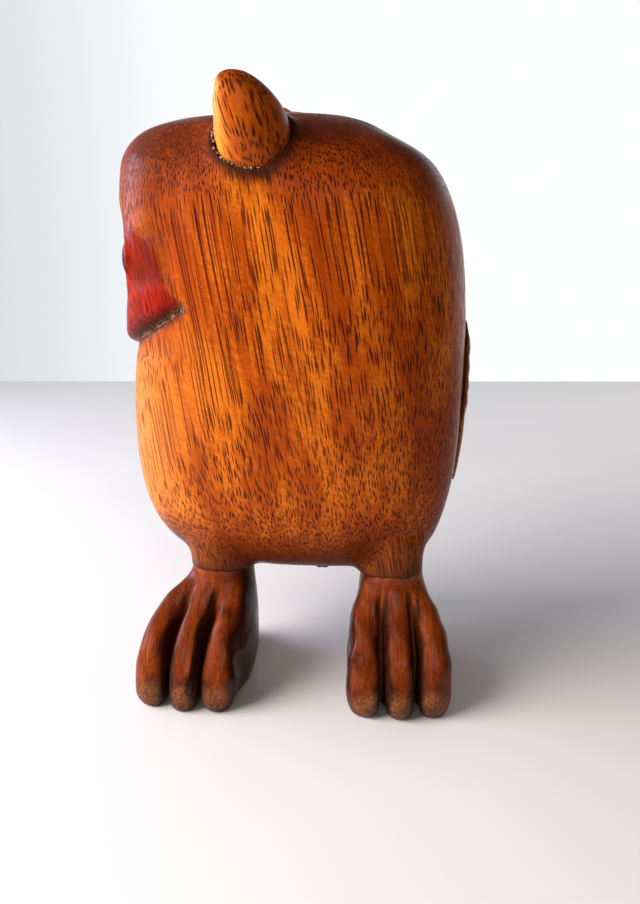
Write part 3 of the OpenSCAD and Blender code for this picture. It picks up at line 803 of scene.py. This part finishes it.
def make_ear(side, name, material):
    """One ear tuft, whittled to a blunt tongue."""
    low, high = box_mm(name)
    space = Space(low - 2, high + 2, FINE_STEP)
    field = tuft_field(space, side)
    field = soften(field + hand_marks(space, 7.0, 0.10, 40 + side), 2)
    points, quads, away = skin(space, field)
    # Painted light: the tuft's side turned to -X is marked for a paler colour.
    marks = {"hollow": hollows(space, field, points), "painted_light": ramp((-away[:, 0] - 0.25) / 0.6),
             "end_grain": 0.35 * end_grain(away, 0, -0.28)}
    keep(new_mesh(name, points, quads, material, marks), name)


# ---------------------------------------------------------------- the block: head, body and tail

BODY_STEP = 0.68       # sample distance of the block
ANKLE_R = 7.8
ANKLE_COLLAR = 10.0    # height over which an ankle flares into the block
TUFT_FLARE = 8.0       # height to which the head swells round a tuft
DISH_R = 10.8          # radius and depth of the hollow round an eye
DISH_DEPTH = 1.7
IRIS_R = 7.0
# Height, middle across, middle back, half width, half thickness of the tail.
TAIL = [(12.0, 0, 26.4, 2.4, 1.4), (14.0, 0, 26.2, 4.3, 2.4), (18.5, 0, 25.5, 6.6, 3.2),
        (25.0, 0, 24.7, 9.0, 4.2), (33.0, 0, 24.0, 10.6, 5.1), (42.0, 0, 23.7, 10.0, 5.6),
        (52.0, 0, 22.6, 7.0, 5.4), (60.0, 0, 20.5, 3.0, 3.4)]
# Height above the underside, and the angle from the face's middle to which the red stain reaches.
STAIN_EDGE = ((55, 66, 72, 78, 82, 86, 91, 96, 99, 103, 106), (52, 50, 43, 41, 36, 24, 12, 12, 34, 46, 46))
NICK = (-24.5, 128.5)  # across and up, of an old dent on the near side of the head


def eye_places():
    """Middle of each eye on the face and the way it looks, the owl's left one first."""
    found = []
    for name, side in (("iris_left", -1), ("iris_right", 1)):
        look = np.array([-math.cos(EYE_TURN), side * math.sin(EYE_TURN), 0])
        found.append((middle_mm(name), look))
    return found


def block_field(space):
    """The pillow-shaped block with its raised face, and the angle from the face's middle."""
    middle, half_width, half_depth = block_at(space.z)
    x, y = space.x - middle, space.y - MID_Y
    turned = np.degrees(np.arctan2(np.abs(y), -x))
    stand = face_stand(turned, space.z - UNDERSIDE)
    reach = (np.abs(x / (half_width + stand)) ** BLOCK_POWER
             + np.abs(y / (half_depth + 0.4 * stand)) ** BLOCK_POWER) ** (1 / BLOCK_POWER)
    side = (reach - 1) * np.minimum(half_width, half_depth)
    ends = np.maximum(space.z - CROWN, UNDERSIDE - space.z)
    return as_distance(space, np.maximum(side, ends)), turned


def add_tail(space, field):
    """The tail, low on the back, with three grooves down it."""
    tail_x = (box_mm("foot_left")[0][0] + box_mm("foot_right")[1][0]) / 2
    tail = loft(space.z, space.x - tail_x, space.y - MID_Y, TAIL, 2.4)
    for groove in (-0.36, 0.0, 0.36):
        spot = space.x - tail_x - groove * 2 * np.interp(space.z, [12, 33, 60], [3.0, 10.0, 4.0])
        tail = tail + 0.9 * np.exp(-(spot / 0.8) ** 2) * ramp((50 - space.z) / 12)
    return join(field, as_distance(space, tail), 2.0)


def add_ankles(space, field):
    """A short collar for each foot, flared into the underside."""
    for name in ("leg_dowel_right", "leg_dowel_left"):
        ankle = middle_mm(name)
        wide = np.sqrt((space.x - ankle[0]) ** 2 + (space.y - ankle[1]) ** 2)
        collar = np.maximum(wide - ANKLE_R - 0.1, UNDERSIDE + 0.2 - space.z)
        collar = np.maximum(collar, space.z - UNDERSIDE - ANKLE_COLLAR)
        field = join(field, collar, 3.0)
    return field


def hollow_eyes(space, field):
    """A shallow dish round each eye, with a thin raised rim about the iris."""
    ball = (DISH_R ** 2 + DISH_DEPTH ** 2) / (2 * DISH_DEPTH)
    for place, look in eye_places():
        field = cut(field, distance_from(space, place + look * (ball + 1.1)) - ball, 1.0)
        dx, dy, dz = space.x - place[0], space.y - place[1], space.z - place[2]
        deep = dx * look[0] + dy * look[1]
        wide = np.sqrt(np.maximum(dx * dx + dy * dy + dz * dz - deep * deep, 0))
        rim = np.sqrt((wide - IRIS_R - 1.0) ** 2 + (deep - 1.2) ** 2) - 0.85
        field = join(field, rim, 0.5)
    return field


def carve_cheek(space, field, turned, eye_z):
    """The scoop at the corner of the face, an old nick, and the chopped groove under the face."""
    scoop = np.exp(-((space.z - eye_z) / 5.6) ** 4 - ((turned - 40) / 7.0) ** 4)
    field = field + 1.3 * scoop
    nick = np.sqrt((space.x - NICK[0]) ** 2 + (space.z - NICK[1]) ** 2) + 9 * (space.y > MID_Y)
    field = field + 0.5 * np.exp(-(nick / 0.7) ** 2)

    # The groove is deeper and rougher towards its outer end.
    below = space.z - UNDERSIDE - chin_line(turned) + 0.4
    outer = ramp((turned - 8) / 26) * ramp((FACE_SPAN + 5 - turned) / 4)
    ragged = hand_marks(space, 1.9, 0.55, 7) + hand_marks(space, 0.9, 0.30, 8)
    notch = np.exp(-(below / (0.8 + 0.3 * outer)) ** 2) * ramp((FACE_SPAN + 4 - turned) / 6)
    return field + notch * (0.7 + 1.0 * outer + outer * ragged)


def seat_tuft(space, field, side, tuft):
    """Swells the head a little round the root of a tuft, and cuts the tuft's socket."""
    root, _, _, up = ear_frame(side)
    rise = distance_along(space, root, up) - EAR_SOCKET
    field = join(field, np.maximum(tuft + 0.4, rise - TUFT_FLARE), 5.0)
    return cut(field, tuft - 0.1, 0.1)


def make_block(material, tree, filler):
    """Head, body and tail in one piece of wood, with bits of filler and torn grain on it."""
    space = Space(BLOCK_LOW - 2, BLOCK_HIGH + 2, BODY_STEP)
    eye_z = eye_places()[0][0][2]
    tufts = {side: tuft_field(space, side) for side in (-1, 1)}
    field, turned = block_field(space)
    field = add_ankles(space, add_tail(space, field))
    field = carve_cheek(space, hollow_eyes(space, field), turned, eye_z)
    for side, tuft in tufts.items():
        field = seat_tuft(space, field, side, tuft)
    field = soften(field + hand_marks(space, 17.0, 0.10, 3), 1)
    points, quads, away = skin(space, field)

    x, y, z = points[:, 0] - block_at(points[:, 2])[0], points[:, 1] - MID_Y, points[:, 2] - UNDERSIDE
    angle = np.degrees(np.arctan2(np.abs(y), -x))
    edge = chin_line(angle)
    from_face = points[:, 0] - BLOCK_LOW[0]
    from_ears = np.min([space.read(tuft, points) for tuft in tufts.values()], axis=0)

    # Red stain on the face, soft at its outer edge, and above the eyes only near the face itself.
    cheek = np.interp(z, STAIN_EDGE[0], STAIN_EDGE[1])
    soft = np.interp(z, (60, 70, 82, 92), (5.0, 9.0, 7.0, 16.0))
    stain = ramp((cheek - angle) / soft + 0.5) * ramp((z - edge + 0.3) / 1.2)
    stain *= np.maximum(ramp((92 - z) / 6), ramp((11 - from_face) / 7))
    # Bare torn wood in the groove under the face.
    cut_mark = (np.exp(-((z - edge + 0.7) / 1.1) ** 2)
                * ramp((angle - 10) / 16) * ramp((FACE_SPAN + 4 - angle) / 3))
    # Painted shade at the foot of the block and just above its underside, on the brow and in the scoop
    # beside each eye; darker towards the crown; dark seams round the tufts.
    foot_end = ramp((20 - z) / 20) + 0.3 * ramp((4 - z) / 4)
    crown = 0.25 * ramp((z - 84) / 14)
    brow = 0.45 * ramp((z - 78) / 8) * ramp((18 - from_face) / 8)
    seam = 0.7 * np.exp(-(np.maximum(from_ears, 0) / 0.55) ** 2)
    beside_eye = 0.5 * np.exp(-((z - eye_z + UNDERSIDE) / 6.0) ** 4 - ((angle - 38) / 8.0) ** 4)
    shade_and_seams = np.clip(foot_end + crown + brow + seam + beside_eye, 0, 1)
    # Painted light down the edge under the chin: a paler colour on the side turned to -X, towards the
    # lamps.
    painted_light = 0.85 * ramp((-away[:, 0] - 0.05) / 0.85) * ramp((edge - z) / 10) * ramp((z - 4) / 16)
    crease = hollows(space, field, points) * (1 - ramp((away[:, 2] - 0.6) / 0.3) * (from_ears > 1.5))
    marks = {"hollow": crease, "stain": stain, "rough_cut": cut_mark,
             "shade_and_seams": shade_and_seams, "painted_light": painted_light, "end_grain": end_grain(away, 0.05, -0.17)}
    piece = new_mesh("body_block", points, quads, material, marks)

    towards_face = points[:, 0] - ear_frame(1)[0][0]
    crumbly = (np.abs(from_ears - 0.5) < 0.4) & (towards_face < 2) & (z < CROWN - UNDERSIDE - 4)
    torn = (cut_mark > 0.75) & (angle > 22)
    add_bits(piece, "filler", points[crumbly], away[crumbly], (260, 0.36, 0.50, 21), tree, filler)
    add_bits(piece, "splinters", points[torn], away[torn], (170, 0.13, 0.95, 22), tree, filler)
    keep(piece, "body_block")


# ---------------------------------------------------------------- feet

# Share of the reach, share of the toe pitch, height of the top, half width, from ankle to tip.
TOE = [(-0.20, 0.42, 24.0, 3.1), (0.00, 0.62, 27.8, 3.5), (0.22, 0.84, 27.2, 3.9),
       (0.42, 0.99, 24.2, 4.15), (0.60, 1.05, 20.4, 4.3), (0.74, 1.06, 17.0, 4.4),
       (0.84, 1.05, 14.2, 4.4), (0.92, 1.02, 11.4, 4.25), (0.97, 0.99, 9.2, 4.0), (1.00, 0.98, 7.6, 3.7)]
TOE_PITCH = 7.9        # between the middles of two toes
TOE_SHORT = 0.8        # how much shorter the outer toes are
TOE_ROUNDING = 5.0     # rounding of the toes' ends
SWEPT_BY = 0.7         # share of the reach over which the toes sweep outwards
SUNK = 1.5             # how far the forms run below the table before they are cut flat
# Distance ahead of the ankle, height of the top and half width of the instep.
INSTEP = [(-5.0, 26.5, 6.6), (1.0, 28.3, 7.8), (5.0, 28.2, 8.7), (8.5, 26.4, 9.2), (11.5, 23.6, 9.2)]
# The same for the heel, which runs on under the instep.
HEEL = [(-17.0, 5.0, 1.6), (-16.0, 8.0, 2.7), (-13.6, 11.5, 3.8), (-8.5, 16.0, 5.0),
        (-1.7, 21.5, 6.7), (4.0, 23.0, 7.8), (11.0, 19.0, 8.4), (15.0, 14.0, 7.6)]
# Reach of the toes, turn outwards and sweep outwards, by the side of the body.
FEET = {1: (22.5, math.radians(7.0), 1.0), -1: (25.1, math.radians(2.0), 5.0)}


def make_foot(side, name, material):
    """An ankle, an instep and three toes parted by gouged grooves, cut flat underneath."""
    low, high = box_mm(name)
    ankle = middle_mm(name.replace("foot", "leg_dowel"))
    space = Space((low[0] - 2, low[1] - 2, -2.0), (high[0] + 2, high[1] + 2, high[2] + 1), FINE_STEP)
    reach, turn, sweep = FEET[side]
    turn *= side
    dx, dy = space.x - ankle[0], space.y - ankle[1]
    forward = dx * math.sin(turn) - dy * math.cos(turn)
    across = dx * math.cos(turn) + dy * math.sin(turn)
    across = across - side * sweep * ramp(forward / reach / SWEPT_BY)

    def standing(place, top, half, middle=0.0):
        """A station of a form that stands on the table."""
        return place, middle, (top - SUNK) / 2, half, (top + SUNK) / 2

    field = None
    for toe in (-1, 0, 1):
        length = reach - TOE_SHORT * abs(toe)
        stations = [standing(r * length, top, half, toe * s * TOE_PITCH) for r, s, top, half in TOE]
        shape = as_distance(space, loft(forward, across, space.z, stations, 2.3, TOE_ROUNDING))
        shape = shape + hand_marks(space, 7.0, 0.22, 60 + toe + 5 * side)
        field = shape if field is None else join(field, shape, 0.5)
    instep = loft(forward, across, space.z, [standing(*row) for row in INSTEP], 3.0, 4.0)
    field = join(field, as_distance(space, instep), 2.2)
    heel = loft(forward, across, space.z, [standing(*row) for row in HEEL], 2.4, 1.0)
    field = join(field, as_distance(space, heel), 2.5)
    leg = np.maximum(np.sqrt(dx * dx + dy * dy) - ANKLE_R, np.maximum(space.z - high[2], 8 - space.z))
    field = soften(join(field, leg, 2.6), 3)
    for groove in (-1, 1):
        spot = across - groove * 0.5 * TOE_PITCH * np.interp(forward / reach, [0.2, 0.42, 0.7, 1.0],
                                                             [0.80, 0.96, 1.05, 0.98])
        run = ramp((forward / reach - 0.31) / 0.12)
        field = field + 1.7 * np.exp(-(spot / 0.62) ** 2) * run * ramp((space.z + 3) / 6)
    field = both(field, -space.z, 0.6)
    points, quads, away = skin(space, field)
    points[:, 2] = np.maximum(points[:, 2], 0)
    px, py = points[:, 0] - ankle[0], points[:, 1] - ankle[1]
    ahead = (px * math.sin(turn) - py * math.cos(turn)) / reach
    tip = ramp((ahead - 0.84) / 0.12) * ramp((11 - points[:, 2]) / 7)
    # Painted light: the top of the foot is marked for a paler colour in the material.
    upper = ramp((points[:, 2] - high[2] + 8) / 7)
    # Painted shade: the feet's inner sides, facing each other, are marked for darkening.
    inner = ramp((-side * away[:, 0] - 0.35) / 0.5) * ramp((ahead + 0.1) / 0.3) * (1 - upper)
    marks = {"hollow": hollows(space, field, points, 8) * (1 - upper), "tip": tip,
             "ankle": upper, "shaded": 0.95 * inner * (1 - tip),
             "end_grain": 0.4 * end_grain(away, 0.66, 0)}
    keep(new_mesh(name, points, quads, material, marks), name)


# ---------------------------------------------------------------- beak and eyes

BEAK_STEP = 0.22       # sample distance of the beak
BEAK_BACK = 1.6        # how far the beak runs back into its seat
# Height from the middle, half width, reach out of the face, from tip to brow.
BEAK = [(-8.5, 0.5, 0.9), (-7.9, 1.3, 1.5), (-6.4, 2.5, 2.05), (-4.0, 3.6, 2.2), (-1.0, 4.2, 2.15),
        (2.0, 4.3, 2.0), (4.6, 3.6, 1.6), (6.8, 2.4, 1.0), (8.5, 0.7, 0.3)]
PUPIL_R = 3.6
IRIS_BACK = -1.9       # back of the inlay, behind the face


def make_beak(material):
    """A hooked beak with a ridge down the middle."""
    low, high = box_mm("beak")
    middle_z = (low[2] + high[2]) / 2
    face = low[0] + 2.5
    space = Space(low - 1, (face + 3, high[1] + 1, high[2] + 1), BEAK_STEP)
    rows = np.array(BEAK)
    z = space.z - middle_z
    half = np.interp(z, rows[:, 0], rows[:, 1])
    reach = np.interp(z, rows[:, 0], rows[:, 2])
    out = face - space.x
    y = (space.y - MID_Y) / np.maximum(half, 0.2)
    ridge = np.maximum(1 - np.abs(y) ** 1.5, -2.0)
    field = as_distance(space, out - reach * ridge)
    field = np.maximum(field, -BEAK_BACK - out)
    field = np.maximum(field, np.abs(z) - rows[-1, 0])
    field = soften(field, 2)
    points, quads, _ = skin(space, field)
    marks = {"hollow": hollows(space, field, points)}
    keep(new_mesh("beak", points, quads, material, marks), "beak")


def turned_disc(name, place, look, outline, material):
    """A turned piece: its outline is given as radius and height, and spun about the way it looks."""
    around = 72
    level = np.cross(look, (0, 0, 1.0))
    level /= np.linalg.norm(level)
    upright = np.cross(level, look)
    points, rings, faces = [], [], []
    for radius, height in outline:
        for k in range(around):
            a = 2 * math.pi * k / around
            points.append(place + look * height + radius * (math.cos(a) * level + math.sin(a) * upright))
            rings.append(radius)
    for row in range(len(outline) - 1):
        for k in range(around):
            n = (k + 1) % around
            faces.append((row * around + k, row * around + n, (row + 1) * around + n,
                          (row + 1) * around + k))
    first, last = len(points), len(points) + 1
    points += [place + look * outline[0][1], place + look * outline[-1][1]]
    rings += [0, 0]
    top = (len(outline) - 1) * around
    faces += [(first, (k + 1) % around, k) for k in range(around)]
    faces += [(last, top + k, top + (k + 1) % around) for k in range(around)]
    marks = {"ring": np.array(rings, dtype=np.float32) / max(rings)}
    keep(new_mesh(name, points, faces, material, marks), name)


def make_eyes(iris_material, pupil_material):
    """An amber disc and a domed black bead for each eye."""
    for (place, look), side in zip(eye_places(), ("left", "right")):
        front = [(r, 1.1 + 0.8 * (1 - (r / IRIS_R) ** 2)) for r in np.linspace(IRIS_R - 0.25, 0.5, 14)]
        disc = [(IRIS_R - 0.3, IRIS_BACK), (IRIS_R, IRIS_BACK + 0.3), (IRIS_R, 0.8), (IRIS_R - 0.1, 1.0)]
        turned_disc("iris_" + side, place, look, disc + front, iris_material)
        bead = [(PUPIL_R - 0.2, 0.2), (PUPIL_R, 0.4), (PUPIL_R, 1.9)]
        bead += [(PUPIL_R * math.cos(a), 1.9 + 1.1 * math.sin(a)) for a in np.linspace(0.12, 1.5, 12)]
        turned_disc("pupil_" + side, place, look, bead, pupil_material)


# ---------------------------------------------------------------- wings

WING_W = 27.0
SHOULDER_ARCH = 2.5    # rise of the wing's rounded shoulder
COVERT_END = 0.38      # share of the wing that the short upper feathers cover
# Share of the way to the tip, number, half width and half length of each row of short feathers.
COVERTS = ((0.10, 5, 2.7, 4.2), (0.19, 6, 2.6, 4.4), (0.28, 7, 2.4, 4.6), (0.355, 7, 2.4, 4.4))
LONG_FEATHERS = 7
LONG_FEATHER = (2.3, 13.5)  # half width and half length


def flank(side, y, z, out):
    """A point on the block's flank, this far off its surface."""
    middle, half_width, half_depth = block_at(z)
    across = np.minimum(np.abs(y - MID_Y) / (half_depth + out), 0.99)
    x = middle + side * (half_width + out) * (1 - across ** BLOCK_POWER) ** (1 / BLOCK_POWER)
    return np.stack([x, y, z], axis=-1)


def wing_place(name, u, v):
    """Height and depth of a point of the wing, u from shoulder to tip and v across."""
    low, high = box_mm(name)
    top, tip = high[2] - SHOULDER_ARCH, low[2]
    half = WING_W / 2 * np.sin(np.pi * (0.10 + 0.86 * u ** 0.85)) ** 0.55
    shoulder = (low[1] + high[1]) / 2 - WING_W * 0.08
    y = shoulder + WING_W * 0.16 * u + v * half
    z = top * (1 - u) + tip * u + SHOULDER_ARCH * np.cos(np.pi / 2 * v) * (1 - u)
    return y, z


def feather_tree():
    """Geometry nodes that lay one carved feather on every point, by the point's own size and way."""
    tree, own = new_scatter_tree("Feather rows", (("Thickness", 0.0008), ("Tip taper", 0.5)), 4)
    ball = node(tree, "GeometryNodeMeshUVSphere", {"Segments": 14, "Rings": 9, "Radius": 1.0})
    where = node(tree, "GeometryNodeInputPosition").outputs[0]
    parts = node(tree, "ShaderNodeSeparateXYZ", {0: where}).outputs
    down = maths(tree, "MULTIPLY_ADD", parts[1], 0.5, 0.5)
    narrow = maths(tree, "SUBTRACT", 1.0, maths(tree, "MULTIPLY", own["Tip taper"],
                                                maths(tree, "POWER", down, 3.0)))
    wide = maths(tree, "MULTIPLY", parts[0], narrow)
    quill = maths(tree, "MULTIPLY", maths(tree, "POWER", maths(tree, "ABSOLUTE", parts[0]), 0.5), -0.35)
    lifted = maths(tree, "MULTIPLY", maths(tree, "ADD", 1.2, quill), parts[2])
    shaped = node(tree, "ShaderNodeCombineXYZ", {0: wide, 1: parts[1], 2: lifted}).outputs[0]
    leaf = node(tree, "GeometryNodeSetPosition", {"Geometry": ball.outputs["Mesh"], "Position": shaped})

    facing = node(tree, "FunctionNodeAxesToRotation",
                  {"Primary Axis": point_value(tree, "out", "FLOAT_VECTOR"),
                   "Secondary Axis": point_value(tree, "down", "FLOAT_VECTOR")},
                  primary_axis="Z", secondary_axis="Y")
    jitter = node(tree, "FunctionNodeRandomValue", {"Min": 0.93, "Max": 1.07, "Seed": own["Seed"]},
                  data_type="FLOAT")
    size = node(tree, "ShaderNodeCombineXYZ",
                {0: maths(tree, "MULTIPLY", point_value(tree, "half_width"), jitter.outputs[1]),
                 1: point_value(tree, "half_length"), 2: own["Thickness"]}).outputs[0]
    lay_on_points(tree, own, leaf.outputs[0], facing.outputs[0], size, smooth=True)
    return tree


def feather_points(side, name):
    """Roots of the short upper feathers and the long lower ones."""
    rows = []
    for row, (u, count, half_width, half_length) in enumerate(COVERTS):
        for k in range(count):
            v = ((k + 0.5) / count * 2 - 1) * 0.97
            rows.append((u, v, half_width, half_length, 0.80 - 0.02 * row))
    for k in range(LONG_FEATHERS):
        v = ((k + 0.5) / LONG_FEATHERS * 2 - 1) * 0.92
        u = 0.66 - 0.025 * abs(k - 4)
        rows.append((u, v, *LONG_FEATHER, 0.42 + 0.02 * k))
    points, outs, downs, widths, lengths = [], [], [], [], []
    for u, v, half_width, half_length, lift in rows:
        at = [flank(side, *wing_place(name, np.array(uu), np.array(vv)), lift)
              for uu, vv in ((u, v), (u + 0.03, v * 0.985), (u, v + 0.04))]
        down = at[1] - at[0]
        across = at[2] - at[0]
        out = np.cross(down, across)
        out *= np.sign(out[0]) * side / np.linalg.norm(out)
        points.append(at[0])
        outs.append(out)
        downs.append(down / np.linalg.norm(down))
        widths.append(half_width * MM)
        lengths.append(half_length * MM)
    return points, {"out": outs, "down": downs, "half_width": widths, "half_length": lengths}


def make_wing(side, name, material, tree):
    """A thin panel that follows the flank, with rows of carved feathers on it."""
    rows, cols = 96, 44
    u, v = np.meshgrid(np.linspace(0, 1, rows), np.linspace(-1, 1, cols), indexing="ij")
    y, z = wing_place(name, u, v)
    edge = 1 - 0.5 * np.abs(v) ** 8
    thick = 0.50 + 0.40 * ramp((COVERT_END + 0.03 * np.cos(3 * np.pi * v) - u) / 0.03)
    outer = flank(side, y, z, 0.15 + thick * edge)
    inner = flank(side, y, z, np.full_like(u, -0.5))
    grid = np.arange(rows * cols).reshape(rows, cols)
    a, b, c, d = grid[:-1, :-1], grid[1:, :-1], grid[1:, 1:], grid[:-1, 1:]
    top = np.stack([a, b, c, d], axis=-1).reshape(-1, 4)
    under = top[:, ::-1] + rows * cols
    rim = np.concatenate([grid[0, :-1], grid[:-1, -1], grid[-1, :0:-1], grid[:0:-1, 0]])
    after = np.roll(rim, -1)
    walls = np.stack([rim, after, after + rows * cols, rim + rows * cols], axis=-1)
    faces = np.concatenate([top, under, walls])
    if side < 0:
        faces = faces[:, ::-1]
    marks = {"hollow": np.full(2 * rows * cols, 0.2)}  # wax and painted shade show between the feathers
    corners = np.concatenate([outer.reshape(-1, 3), inner.reshape(-1, 3)])
    panel = new_mesh(name, corners, faces, material, marks)
    roots, values = feather_points(side, name)
    merge(panel, run_nodes(name, roots, values, tree, {"Wood": material}))
    keep(panel, name)


# ---------------------------------------------------------------- stage, light and camera

VIEW_TURN = math.radians(7.0)
VIEW_TILT = math.radians(15.2)
VIEW_MIDDLE = (-0.16, MID_Y)  # the point that the camera and the lamps are set out from
CAMERA_AWAY = 205.0
CAMERA_SIDE = 6.2
CAMERA_HEIGHT = 112.0
SENSOR = 36.0
LENS = SENSOR * 800 / 904


def turned_about(x, y):
    """A place given from the view's middle, square to the camera, put in the frame."""
    return (VIEW_MIDDLE[0] + x * math.cos(VIEW_TURN) - y * math.sin(VIEW_TURN),
            VIEW_MIDDLE[1] + x * math.sin(VIEW_TURN) + y * math.cos(VIEW_TURN))


def make_camera():
    """The camera, level with the owl's brow and looking slightly down."""
    data = bpy.data.cameras.new("Camera")
    data.lens = LENS
    data.sensor_width = SENSOR
    data.clip_start = 0.005
    data.clip_end = 20.0
    camera = bpy.data.objects.new("Camera", data)
    x, y = turned_about(CAMERA_SIDE, -CAMERA_AWAY)
    camera.location = (x * MM, y * MM, CAMERA_HEIGHT * MM)
    camera.rotation_euler = (math.pi / 2 - VIEW_TILT, 0, VIEW_TURN)
    bpy.context.scene.collection.objects.link(camera)
    bpy.context.scene.camera = camera


def make_softbox(name, place, size, power, colour, mirrored=True):
    """A soft lamp that faces the owl. Its own reflection can be left out."""
    data = bpy.data.lights.new(name, "AREA")
    data.shape = "RECTANGLE"
    data.size, data.size_y = size[0] * MM, size[1] * MM
    data.energy = power
    data.color = colour
    lamp = bpy.data.objects.new(name, data)
    lamp.visible_glossy = mirrored
    x, y = turned_about(place[0], place[1])
    lamp.location = (x * MM, y * MM, place[2] * MM)
    aim = Vector((0, 0, 70 * MM)) - lamp.location
    lamp.rotation_euler = aim.to_track_quat("-Z", "Y").to_euler()
    bpy.context.scene.collection.objects.link(lamp)


def make_floor():
    """A pale table top that runs back to a soft white distance."""
    made, tree, shader, place = new_material("Pale table top")
    cloudy = noise(tree, place, 3.0, 3.0)
    speck = noise(tree, place, 900.0, 2.0)
    colour = mix(tree, spread(tree, cloudy, 0.35, 0.65), (0.75, 0.72, 0.72, 1), (0.81, 0.78, 0.78, 1))
    tree.links.new(colour, shader.inputs["Base Color"])
    tree.links.new(spread(tree, speck, 0.3, 0.7, 0.24, 0.27), shader.inputs["Roughness"])
    bump = node(tree, "ShaderNodeBump", {"Height": speck, "Strength": 0.04, "Distance": 0.00002})
    tree.links.new(bump.outputs["Normal"], shader.inputs["Normal"])
    corners = [(-900, -700), (900, -700), (900, 420), (-900, 420)]
    points = [(*turned_about(*corner), 0.0) for corner in corners]
    new_mesh("floor", points, [(0, 1, 2, 3)], made)


def make_surround():
    """A white room that is brightest on the left and behind, as by a window."""
    world = bpy.data.worlds.new("Surround")
    world.use_nodes = True
    tree = world.node_tree
    way = tree.nodes.new("ShaderNodeTexCoord").outputs["Generated"]
    left = (-math.cos(VIEW_TURN), -math.sin(VIEW_TURN), 0)
    back = (-math.sin(VIEW_TURN), math.cos(VIEW_TURN), 0)
    to_left = node(tree, "ShaderNodeVectorMath", {0: way, 1: left}, operation="DOT_PRODUCT").outputs[1]
    to_back = node(tree, "ShaderNodeVectorMath", {0: way, 1: back}, operation="DOT_PRODUCT").outputs[1]
    upwards = node(tree, "ShaderNodeSeparateXYZ", {0: way}).outputs[2]
    behind = maths(tree, "MULTIPLY", spread(tree, to_back, 0.15, 0.75, 0.04, 1.06),
                   spread(tree, upwards, 0.28, 0.50, 1.0, 0.15))
    behind = maths(tree, "MULTIPLY", behind, spread(tree, to_left, 0.08, 0.42, 1.0, 0.72))
    bright = maths(tree, "MAXIMUM", spread(tree, to_left, -0.1, 0.95, 0.04, 0.50), behind)
    seen = node(tree, "ShaderNodeLightPath").outputs["Is Camera Ray"]  # a pale wall all round
    bright = maths(tree, "MAXIMUM", bright, maths(tree, "MULTIPLY", seen, 0.62))
    sky = next(n for n in tree.nodes if n.type == "BACKGROUND")
    sky.inputs["Color"].default_value = (0.94, 0.97, 1.0, 1)
    tree.links.new(bright, sky.inputs["Strength"])
    bpy.context.scene.world = world


def make_light():
    """A large lamp and a cool window on the left, weak warm lamps in front and behind."""
    make_surround()
    make_softbox("Key lamp", (-450, -160, 330), (420, 420), 5.8, (1.0, 0.965, 0.92), False)
    make_softbox("Window lamp", (-420, 120, 220), (260, 260), 1.2, (0.60, 0.68, 1.0))
    make_softbox("Back lamp", (420, 330, 260), (300, 300), 0.45, (1.0, 0.93, 0.86), mirrored=False)
    make_softbox("Front lamp", (0, -620, 460), (420, 300), 0.5, (1.0, 0.96, 0.92))
    bpy.context.scene.view_settings.view_transform = "Standard"


# ---------------------------------------------------------------- putting the owl together

def make_owl():
    """Every piece of the owl, on the frame."""
    ear_wood = make_ear_material()
    foot_wood = make_foot_material()
    wing_wood = make_wing_material()
    make_block(make_body_material(), bits_tree(), make_residue_material())
    make_ear(-1, "ear_tuft_left", ear_wood)
    make_ear(1, "ear_tuft_right", ear_wood)
    make_beak(make_beak_material())
    make_eyes(make_iris_material(), make_pupil_material())
    feathers = feather_tree()
    make_wing(1, "wing_left", wing_wood, feathers)
    make_wing(-1, "wing_right", wing_wood, feathers)
    make_foot(1, "foot_left", foot_wood)
    make_foot(-1, "foot_right", foot_wood)
    dowel_wood = make_dowel_material()
    for name in ("ear_dowel_left", "ear_dowel_right", "leg_dowel_left", "leg_dowel_right"):
        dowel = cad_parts[name].data
        dowel.materials.clear()
        dowel.materials.append(dowel_wood)


make_owl()
make_floor()
make_light()
make_camera()
